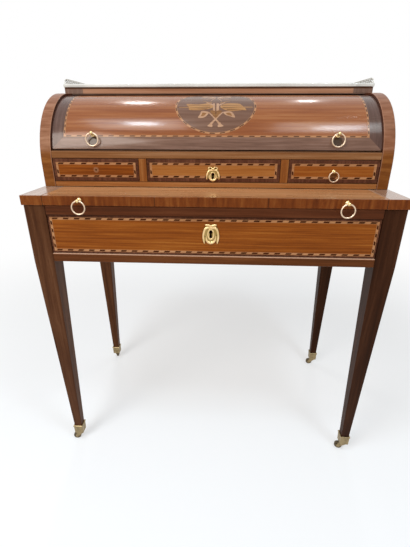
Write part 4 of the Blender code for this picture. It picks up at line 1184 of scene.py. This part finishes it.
def makeBack():
    def boardJoints(f):
        count = f.x / case["board"] + 20.0  # in boards, kept positive
        across = abs(f.math("FRACT", count) - 0.5)
        return f.step(across, *case["boardGap"]) * case["boardShare"]

    boards = plainWood("backBoards", "backWood", grainZ, 0.62, lines=boardJoints)
    apron = plainWood("backApronWood", "backWood", grainX, 0.58)
    eased("case_back", case["thinEase"], "dark_wood", boards)
    eased("apron_back", case["railEase"], "dark_wood", apron)
    eased("pigeonholes", case["thinEase"], "tulipwood", finishes["nest"])


for make in (makeSides, makeCarcase, makeFloor, makeFrieze, makeBack):
    make()
print("case ready")

nails = {"radius": 0.0017, "flat": 0.45, "pitch": 0.058, "inset": 0.006}


def makeNails():
    s = nails
    low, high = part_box("case_back")
    lines = [[(low.x + s["inset"], high.y, z), (high.x - s["inset"], high.y, z)]
             for z in (low.z + s["inset"], high.z - s["inset"])]
    heads = nailTree.grow(*chain(lines), radius=s["radius"], flat=s["flat"], pitch=s["pitch"],
                          finish=finishes["steel"])
    place("backNails", tidyMesh(heads), "desk", "lock_steel", finishes["steel"])


makeNails()

# the fall: a curved panel with a tongue at each end, its border, stringing and oval
fall = {
    "thick": 0.014, "endGap": 0.0012, "tongue": (0.153, 0.159), "step": 1.0, "ease": 0.0007,
    "panelHalf": 0.360, "panelFrom": 23.9, "panelTo": 91.5,
    "ovalAt": 55.3, "oval": (0.0965, 0.0805), "ovalAside": 0.003, "ovalRise": 0.00012,
    "slice": 0.003, "backVeneer": (0.0010, 0.0014),
    "ringAt": (0.289, 20.3), "rub": (0.0090, 0.0165), "rubShare": 0.80,
}


def makeFall():
    s = fall
    inner = fallRadius - s["thick"]
    foot = fallLow.z - axis.z
    top = 90 + math.degrees(math.asin((fallHigh.y - axis.y) / fallRadius))
    footOut, footIn = (math.degrees(math.asin(foot / r)) for r in (fallRadius, inner))
    half = sideLow.x - s["endGap"]
    shell = arcPoints(fallRadius, footOut, top, s["step"]) + arcPoints(inner, top, footIn, s["step"])
    parts = [rounded(prismX("fallShell", shell, -half, half), s["ease"])]
    near, far = s["tongue"]
    tongue = arcPoints(far, footIn, top, 2.0) + arcPoints(near, top, footIn, 2.0)
    for low, high in ((fallLow.x, -half + s["thick"] / 4), (half - s["thick"] / 4, fallHigh.x)):
        parts.append(rounded(prismX("fallTongue", tongue, low, high), s["ease"]))
    v0, v1 = arcAt(s["panelFrom"]), arcAt(s["panelTo"])

    def behind(f):
        up, back = f.z - axis.z, f.y - axis.y
        return 1.0 - f.step(f.math("SQRT", up * up + back * back) - inner, *s["backVeneer"])

    # a dark disc round each ring: the rub print with the ring's painted shadow
    rub = ringRubAndShadow((s["ringAt"][0], arcAt(s["ringAt"][1])), s["rub"], s["rubShare"], grainFall)
    # the border's top and bottom carry a painted sheen, its ends painted shade
    wood = panelled("fallVeneer", grainFall, (0.0, (v0 + v1) / 2), (s["panelHalf"], (v1 - v0) / 2), "fall",
                    "fallBand", cross=False, behind=behind, mark=rub, shadedEnds="fallEnds", rough=0.24, **lacquer)
    place("fallPanel", joinMeshes("fallPanel", parts), "fall", "tulipwood", wood, instead=("cylinder_fall",))
    boxStringing("fallStringing", (-s["panelHalf"], v0), (s["panelHalf"], v1), fallFace, "fall", True)
    middle = (s["ovalAside"], arcAt(s["ovalAt"]))
    oval = ellipse(middle, s["oval"], 120)
    ground = sheetCut("ovalGround", [oval], s["ovalRise"])
    place("ovalGround", lay(ground, fallFace, s["slice"]), "fall", "crossband_wood", finishes["oval"])
    lines = stringLines([oval], closed=True, fine=True)
    setStringing("ovalStringing", [lines], fallFace, "fall", True)


makeFall()
print("fall ready")

# marquetry of the oval, in millimetres from its middle: outlines that get rounded, and tapering bars
motif = {
    "at": 52.3, "aside": 4.0, "rise": 0.00022, "inset": 0.5,
    "layer": 0.00004, "sheet": 0.000003,  # each tone and each piece lies a little higher than the last
    "honey": {
        "outlines": [
            [(-72, 17), (-44, 15), (-19, 20), (-8, 10), (-9, 2), (-26, -5), (-41, -7), (-64, -6), (-66, 4)],
            [(10, 6), (25, 20), (54, 19), (64, 9), (73, -6), (64, -7), (42, -10), (26, -8)],
        ],
        "bars": [((-90, 3.2), (-64, 3.0), 1.8, 1.8), ((64, 4.2), (88, 4.2), 2.4, 2.4),
                 ((-10, 21), (-34, 32), 3.0, 0.8), ((10, 21), (34, 32), 3.0, 0.8)],
    },
    "amber": {
        "outlines": [[(-14, -10), (-6, -8), (0, -11), (6, -8), (15, -10), (8, -22), (0, -31), (-8, -22)]],
        "bars": [((-61, -5.0), (-20, -3.2), 0.9, 3.2), ((65, -6.6), (26, -6.4), 0.9, 3.2)],
    },
    "umber": {
        "bars": [((-67, 10.5), (-14, 9.0), 0.5, 2.2), ((-63, 2.6), (-14, 3.2), 0.5, 2.4),
                 ((-44, -2.2), (-22, -1.6), 0.5, 1.6), ((62, 9.6), (14, 9.8), 0.5, 2.2),
                 ((67, 0.8), (16, 3.0), 0.5, 2.4), ((50, -4.6), (26, -3.6), 0.5, 1.6),
                 ((-0.6, 18), (-0.2, -8), 1.4, 1.4), ((0, -13), (0, -25), 3.4, 0.8)],
    },
    "blush": {
        "outlines": [
            [(-19, -54), (-8, -56), (-8, -49), (-11, -44), (-14, -48)],
            [(6, -56), (19, -54), (13, -48), (11, -44), (7, -49)],
        ],
        "bars": [((13, -52), (-17, -14.5), 5.2, 2.4), ((-14, -52), (17, -13.5), 5.2, 2.4),
                 ((-5.6, 20), (-4.6, -9), 4.2, 5.2), ((3.8, 20), (4.2, -9), 5.8, 6.6),
                 ((-24, 24), (-6, 12), 2.4, 4.2), ((21, 23), (7, 12), 2.4, 4.2),
                 ((-2, 53), (-14, 30), 2.6, 1.2), ((2, 53), (14, 30), 2.6, 1.2),
                 ((-2, 54), (-24, 42), 3.2, 2.2), ((2, 54), (24, 42), 3.2, 2.2),
                 ((-23, 42), (-38, 46), 2.2, 0.8), ((23, 42), (38, 46), 2.2, 0.8)],
    },
    "leaves": [[(-34, -10), (-18, -13), (-18, -19), (-27, -30), (-42, -31), (-38, -21)],
               [(18, -13), (37, -12), (46, -30), (32, -26), (23, -22)],
               [(-1, 53), (-13, 64), (-30, 69), (-38, 61), (-28, 53), (-13, 51)],
               [(1, 53), (13, 64), (30, 69), (38, 61), (28, 53), (13, 51)]],  # blush with an amber heart
}


def between(a, b, c, d, t):
    square, cube = 2 * a - 5 * b + 4 * c - d, 3 * b - 3 * c + d - a
    return 0.5 * (2 * b + (c - a) * t + square * t * t + cube * t ** 3)


# a closed outline through the points, with rounded turns
def smoothLoop(points, steps=5):
    out, n = [], len(points)
    for i in range(n):
        a, b, c, d = (Vector(points[(i + k) % n]) for k in (-1, 0, 1, 2))
        out += [tuple(between(a, b, c, d, k / steps)) for k in range(steps)]
    return out


# the same for a run with two ends
def smoothRun(points, steps=5):
    points = [Vector(point) for point in points]
    whole = [2 * points[0] - points[1], *points, 2 * points[-1] - points[-2]]
    out = [between(*whole[i:i + 4], k / steps) for i in range(len(points) - 1) for k in range(steps)]
    return out + [points[-1]]


def barOutline(start, end, wide, narrow):
    start, end = Vector(start), Vector(end)
    aside = Vector((start.y - end.y, end.x - start.x)).normalized() / 2
    wide, narrow = aside * wide, aside * narrow
    return [tuple(point) for point in (start - wide, end - narrow, end + narrow, start + wide)]


def shrunk(points, share):
    middle = sum((Vector(point) for point in points), Vector((0, 0))) / len(points)
    return [tuple(middle + (Vector(point) - middle) * share) for point in points]


def makeMotif():
    m = motif
    lift = arcAt(m["at"])
    extra = {"blush": m["leaves"], "amber": [shrunk(leaf, m["inset"]) for leaf in m["leaves"]]}
    for level, tone in enumerate(("honey", "blush", "amber", "umber")):
        outlines = [barOutline(*bar) for bar in m[tone]["bars"]]
        outlines += [smoothLoop(points) for points in m[tone].get("outlines", []) + extra.get(tone, [])]
        parts = []
        for k, outline in enumerate(outlines):
            flat = [((u + m["aside"]) / 1000, v / 1000 + lift) for u, v in outline]
            rise = m["rise"] + m["layer"] * level + m["sheet"] * k
            parts.append(lay(sheetCut("inlay", [flat], rise), fallFace, fall["slice"]))
        place("trophyInlay." + tone, joinMeshes("trophyInlay", parts), "fall", "tulipwood", finishes[tone])


makeMotif()
print("marquetry ready")

# ring pulls: a turned boss with an eye, and the ring that hangs in it
boss = {
    "flange": 0.0050, "flangeHigh": 0.0014, "arris": 0.0004, "cove": 0.0036, "coveHigh": 0.0013,
    "neck": 0.0027, "bead": 0.0034, "beadHalf": 0.0008,
    "ball": 0.0042, "eye": 0.0026, "eyeHeight": 0.0113, "bore": 0.008, "seat": 0.0003,
    "fuller": 0.06,  # how much stouter the ring's wire is, inwards
}
pulls = {"%s_%s" % pair: ("%s_ring_%s_swing" % pair, 1.0)
         for pair in (("slide", "left"), ("slide", "right"), ("fall", "left"), ("fall", "right"))}
pulls["drawer_right"] = ("drawer_ring_swing", 0.78)


def bossProfile(scale):
    b = boss
    neck, flange, high, arris, seat = b["neck"], b["flange"], b["flangeHigh"], b["arris"], b["seat"] / scale
    last = 180 - math.degrees(math.asin(neck / b["ball"]))
    ball = ellipse((0.0, b["eyeHeight"]), (b["ball"], b["ball"]), 16, 90, 90 - last)
    middle, swell = (high + ball[-1][1]) / 2, b["bead"] - neck
    bead = [(neck + swell * math.sin(math.pi * i / 8), middle + b["beadHalf"] * (1 - i / 4))
            for i in range(9)]
    foot = [(neck, high + b["coveHigh"]), (b["cove"], high + arris), (flange - arris, high),
            (flange, high - arris), (flange, seat), (0.0, seat)]
    return [(r * scale, h * scale) for r, h in ball + bead + foot]


def makePull(name, joint, scale):
    side = Vector((1, 0, 0))
    eye = Vector(jointOf[joint]["pos_m"])
    ahead = Vector((0, -1, 0))
    if name.startswith("fall"):
        ahead = Vector((0, eye.y - axis.y, eye.z - axis.z)).normalized()
    base = eye - ahead * boss["eyeHeight"] * scale
    mesh = lathe("boss", bossProfile(scale), base, side, ahead)
    wide, long = boss["eye"] * scale, boss["bore"] * scale
    cutter = lathe("eye", [(0.0, long), (wide, long), (wide, -long), (0.0, -long)], eye, ahead, side, 24)
    mesh = shaded(cutBy(mesh, cutter), 50.0)
    standIn(name + "_boss", ".turned", mesh, "gilt_brass", finishes["gilt"])
    low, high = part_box(name + "_ring")
    middle = (low + high) / 2
    down = middle - eye
    radius = down.length
    wire = (high.x - low.x) / 2 - radius
    more = wire * boss["fuller"]
    ring = torus("ring", middle, side, down.normalized(), radius - more, wire + more)
    standIn(name + "_ring", ".wire", ring, "gilt_brass", finishes["ring"])


for pull, (joint, scale) in pulls.items():
    makePull(pull, joint, scale)
print("ring pulls ready")

# cast key plates, right half, in millimetres from the keyhole's round head; runs also give half a width
plates = {
    "long_escutcheon": {
        "keyhole": (4.1, 2.0, 3.0, 14.9),  # round head, waist and foot, and how far down it goes
        "edge": [(0, 17.2), (4, 18.2), (9, 18.6), (12.4, 18.2), (13.1, 15.6), (11.6, 13.4), (11.6, 12),
                 (14, 10.9), (15.6, 9.4), (16.8, 5), (18.3, -1), (19.2, -7), (19.2, -13), (18.4, -19),
                 (16.8, -24.5), (14.4, -28.3), (13.2, -25.5), (12.5, -22), (11.8, -19.4), (10.9, -20.8),
                 (9.4, -23.2), (6.8, -26), (3.4, -27.9), (0, -28.5)],
        "arch": [(0, 10, 2), (5, 9.9, 2.1), (10, 9, 2.3), (13, 6.4, 2.4), (14.8, 2.4, 2.3),
                 (16, -2, 2.3), (16.8, -7.5, 2.3), (16.8, -13, 2.3), (16.1, -18.5, 2.2),
                 (15, -23.8, 1.6), (14.2, -27.4, 0.4)],
        "bow": [(0.6, 14, 1.4), (4, 15, 2.1), (8.2, 16, 2.4), (12.2, 16.2, 1.7)],
        "crescent": [(10.3, -7.5, 0.6), (10.4, -13, 1.3), (9.4, -18.6, 2), (6.6, -23, 2.6),
                     (0, -25.4, 2.9)],
        "collar": (6.5, 11.4, -5.0, 1.9),  # half its width and height, its middle, half the width of its band
        "holes": [(-13.2, -10.0, 1.1), (13.4, -6.6, 1.0)],
        "knot": (0, 14.0, 2.4, 3.0),
    },
    "center_escutcheon": {
        "keyhole": (3.6, 2.0, 3.0, 12.4),
        "edge": [(0, 16.8), (2.6, 17.9), (6.5, 18.3), (10.4, 17.4), (12.2, 15), (11.8, 12.2),
                 (12.8, 9.6), (14.3, 6.6), (15.8, 1.6), (16.9, -3), (16.9, -7), (16, -10.8),
                 (14.8, -12.4), (13.2, -11.4), (11.8, -9.6), (10.4, -9.4), (9.4, -10.6), (7.4, -13.4),
                 (4.2, -15.8), (0, -16.7)],
        "arch": [(0, 10.3, 1.4), (4.6, 9.9, 1.6), (8.8, 8.4, 1.8), (11.6, 5.6, 2), (13.3, 1.6, 2.1),
                 (14.6, -2.6, 2.1), (15, -6.4, 1.8), (14.9, -9.6, 1.3), (14.8, -11.6, 0.6)],
        "bow": [(1, 13.2, 1.1), (4.2, 16.6, 1.2), (8.2, 16.9, 1.3), (10.8, 14.6, 1.2), (8.6, 12.2, 1.1),
                (4.2, 11.9, 0.9)],
        "crescent": [(8.6, -0.5, 0.7), (8.6, -5, 1.3), (7.4, -9.4, 1.8), (4.6, -12.6, 2.1),
                     (0, -14.2, 2.2)],
        "collar": (5.6, 8.8, -3.6, 1.4),
        "holes": [(-6.6, 14.4, 1.5), (6.6, 14.4, 1.5), (12.4, -4.6, 0.9)],
        "knot": (0, 13.6, 1.8, 2.4),
    },
}
casting = {
    "gauge": 0.0012, "ease": 0.0003, "high": 0.0013, "low": 0.0008, "bed": 0.0003,
    "sunk": 0.0002,  # how far the mouldings reach into the plate, and how far the keyhole's near-black bed of painted shade reaches under its edge
}


def inMetres(points):
    return [tuple(value / 1000 for value in point) for point in points]


def mirrored(points):
    return [(-point[0], *point[1:]) for point in points]


# a round head, a narrower waist and a rounded foot
def keyhole(s, grow=0.0):
    head, waist, foot, drop = (value / 1000 + grow for value in s["keyhole"])
    spread = math.degrees(math.asin(waist / head))
    rest = ellipse((0, foot - drop), (foot, foot), 12, 180, 360)
    return ellipse((0, 0), (head, head), 24, spread - 90, 270 - spread) + rest


def moulded(run, high, closed=False):
    points = [Vector((u, v, 0.0)) for u, v, _ in run]
    wide = [half for _, _, half in run]
    top = max(wide)
    heights = [high * (0.35 + 0.65 * half / top) for half in wide]
    return sweep(points, wide, heights, closed, casting["gauge"] - casting["sunk"])


def dome(middle, half, high, steps=20, rings=6):
    gauge, sunk = casting["gauge"], casting["sunk"]
    points = [(*middle, gauge + high)]
    for r in range(1, rings + 1):
        a = math.pi / 2 * r / rings
        edge = ellipse(middle, (half[0] * math.sin(a), half[1] * math.sin(a)), steps)
        points += [(u, v, gauge - sunk + (high + sunk) * math.cos(a)) for u, v in edge]
    faces = [(0, 1 + k, 1 + (k + 1) % steps) for k in range(steps)] + quads(rings, steps, False, True, 1)
    faces.append(tuple(1 + (rings - 1) * steps + k for k in reversed(range(steps))))
    return makeMesh("dome", points, faces, 60.0)


def makePlate(node, s):
    c = casting
    low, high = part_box(node)
    edge = inMetres(s["edge"])
    keyZ = low.z - edge[-1][1]
    outline = edge + mirrored(edge[-2:0:-1])
    holes = [ellipse((u, v), (r, r), 12) for u, v, r in inMetres(s["holes"])]
    parts = [sheetCut("plate", [outline, keyhole(s), *holes], c["gauge"], c["ease"], 0.0)]
    crescent = inMetres(s["crescent"])
    runs = [smoothRun(crescent + mirrored(crescent[-2::-1]))]
    for key in ("arch", "bow"):
        half = inMetres(s[key])
        runs += [smoothRun(half), smoothRun(mirrored(half))]
    parts += [moulded(run, c["high"]) for run in runs]
    wide, tall, middle, band = (value / 1000 for value in s["collar"])
    parts.append(moulded([(*point, band) for point in ellipse((0, middle), (wide, tall))], c["low"], True))
    u, v, wide, tall = (value / 1000 for value in s["knot"])
    parts.append(dome((u, v), (wide, tall), c["high"]))
    face = high.y
    deep = past("y", face - c["gauge"] - 0.0003, 0.0004, 0.85)
    gilt = metal(node + "Gilt", (0.90, 0.63, 0.32), (0.44, 0.29, 0.06), 0.27, 0.40, 0.8, deep)
    mesh = joinMeshes(node, parts)
    for vert in mesh.vertices:
        vert.co = frontFace(face, keyZ)(*vert.co)
    standIn(node, ".cast", mesh, "gilt_brass", gilt)
    # near-black sheets in the keyhole and nail holes, just under the plate: painted shade where they open
    dark = [sheetCut("keyhole", [keyhole(s, c["sunk"])], c["bed"], 0.0, 0.0)]
    dark += [sheetCut("nailHole", [hole], c["bed"], 0.0, 0.0) for hole in holes]
    bed = lay(joinMeshes("keyhole", dark), frontFace(face, keyZ))
    place(node + ".keyhole", bed, bodyOf[node], "lock_steel", finishes["keyhole"])


for node, settings in plates.items():
    makePlate(node, settings)
print("key plates ready")

# pierced gallery of lozenge work between two rails; its front ends sweep down in a quarter oval
gallery = {
    "pitch": 0.0120, "wide": 0.0060, "wire": 0.00075, "rail": 0.00090, "bead": 0.0015, "flat": 0.7,
    "ramp": 0.026, "lip": 0.004, "rampStart": 0.0150,
}


def makeGalleryStrip(name, at, length, low, high, swept):
    g = gallery
    r = g["rail"]
    front = [(r, low), (r, high - r)]
    start = 2 * r + g["wide"]
    if swept:
        rise = high - r - low - g["lip"]
        front = [(r, low)] + ellipse((g["ramp"], low + g["lip"]), (g["ramp"] - r, rise), 10, 180, 90)
        start = g["rampStart"]
    top = [at(*point) for point in front + [(length, high - r)]]
    foot = [at(0.0, low + r), at(length, low + r)]
    parts = [rodTree.grow(*chain([top, foot]), radius=r, finish=finishes["gallery"])]
    tall = (high - low - 3 * r) / 2
    level = low + 1.5 * r + tall
    line = [at(start, level), at(length - g["wide"], level)]
    parts.append(lozengeTree.grow(*chain([line]), wide=g["wide"], tall=tall, wire=g["wire"], pitch=g["pitch"],
                                  finish=finishes["gallery"]))
    standIn(name, ".pierced", tidyMesh(joinMeshes(name, parts), 50.0), "gilt_brass", finishes["gallery"])
    knots = [[at(start - g["wide"], level), at(length - 2 * g["wide"], level)]]
    knots += [[at(start, z), at(length - g["wide"], z)] for z in (level - tall / 2, level + tall / 2)]
    beads = nailTree.grow(*chain(knots), radius=g["bead"], flat=g["flat"], pitch=g["pitch"],
                          finish=finishes["galleryKnots"])
    place(name + ".knots", tidyMesh(beads), "desk", "gilt_brass", finishes["galleryKnots"])


def makeGallery():
    for side in ("left", "right"):
        low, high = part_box("gallery_" + side)
        x, long = (low.x + high.x) / 2, high.y - low.y
        makeGalleryStrip("gallery_" + side, lambda u, z: (x, low.y + u, z), long, low.z, high.z, True)
    low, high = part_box("gallery_back")
    y, long = (low.y + high.y) / 2, high.x - low.x
    makeGalleryStrip("gallery_back", lambda u, z: (low.x + u, y, z), long, low.z, high.z, False)


makeGallery()
print("gallery ready")

# casters: sabots and forks as they are, eased, and turned wheels with dished faces
caster = {
    "ease": 0.0004, "half": 0.0045,  # half of the wheel's width
    "edge": 0.0018, "dish": 0.0006, "hub": 0.0042, "lip": (0.0030, 0.0022),
}


def makeWheel(corner):
    c = caster
    node = "caster_wheel_" + corner
    joint = jointOf["wheel_" + corner + "_roll"]
    middle, spin = Vector(joint["pos_m"]), Vector(joint["axis"]).normalized()
    rim, half = middle.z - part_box(node)[0].z, c["half"]
    floor, (lipIn, lipOut) = half - c["dish"], c["lip"]
    face = [(0.0, half), (c["hub"], half), (c["hub"] + c["dish"], floor),
            (rim - lipIn, floor), (rim - lipOut, half)]
    edge = ellipse((rim - c["edge"], half - c["edge"]), (c["edge"], c["edge"]), 6, 90, 0)
    profile = face + edge
    profile += [(r, -h) for r, h in reversed(profile)]
    side = spin.cross(Vector((0, 0, 1))).normalized()
    mesh = lathe("wheel", profile, middle, side, spin, 56)
    standIn(node, ".turned", mesh, "caster_brass", finishes["wheel"])


for corner in corners:
    for part in ("sabot_", "caster_fork_"):
        eased(part + corner, caster["ease"], "caster_brass", finishes["sabot"])
    makeWheel(corner)
print("casters ready")

# leather let into the slide, with tooled gilt lines
leather = {
    "front": 0.124, "margin": 0.056, "recess": 0.0008, "gap": 0.0004, "rise": 0.00055, "ease": 0.0002,
    "lines": ((0.012, 0.0016), (0.020, 0.0006)), "proud": 0.0001,  # in from its edge, and wide
    "stampInset": 0.016, "stamp": 0.0030, "stampPitch": 0.0062,
}


def makeLeather():
    s = leather
    x = slideHigh.x - s["margin"] - s["gap"]
    y0, y1 = slideLow.y + s["front"] + s["gap"], slideHigh.y - s["margin"] - s["gap"]
    bed = topFace(slideHigh.z - s["recess"])
    skin = sheetCut("leather", [[(-x, y0), (x, y0), (x, y1), (-x, y1)]], s["rise"], s["ease"], 0.0)
    place("slideLeather", lay(skin, bed), "slide", None, finishes["leather"])

    def frameLine(inset):
        u, low, high = x - inset, y0 + inset, y1 - inset
        return [Vector((-u, low, 0)), Vector((u, low, 0)), Vector((u, high, 0)), Vector((-u, high, 0))]

    gilt = {"rise": 2 * s["rise"] + s["proud"], "finish": finishes["gilt"]}
    parts = [stripTree.grow(*chain([frameLine(inset)], True), width=width, spacing=0.5, **gilt)
             for inset, width in s["lines"]]
    parts.append(dashTree.grow(*chain([frameLine(s["stampInset"])], True), long=s["stamp"],
                               width=s["stamp"] / 2, slant=1.0, pitch=s["stampPitch"], **gilt))
    tooling = lay(joinMeshes("slideTooling", parts), bed)
    place("slideTooling", tooling, "slide", "gilt_brass", finishes["gilt"])


makeLeather()
print("leather ready")
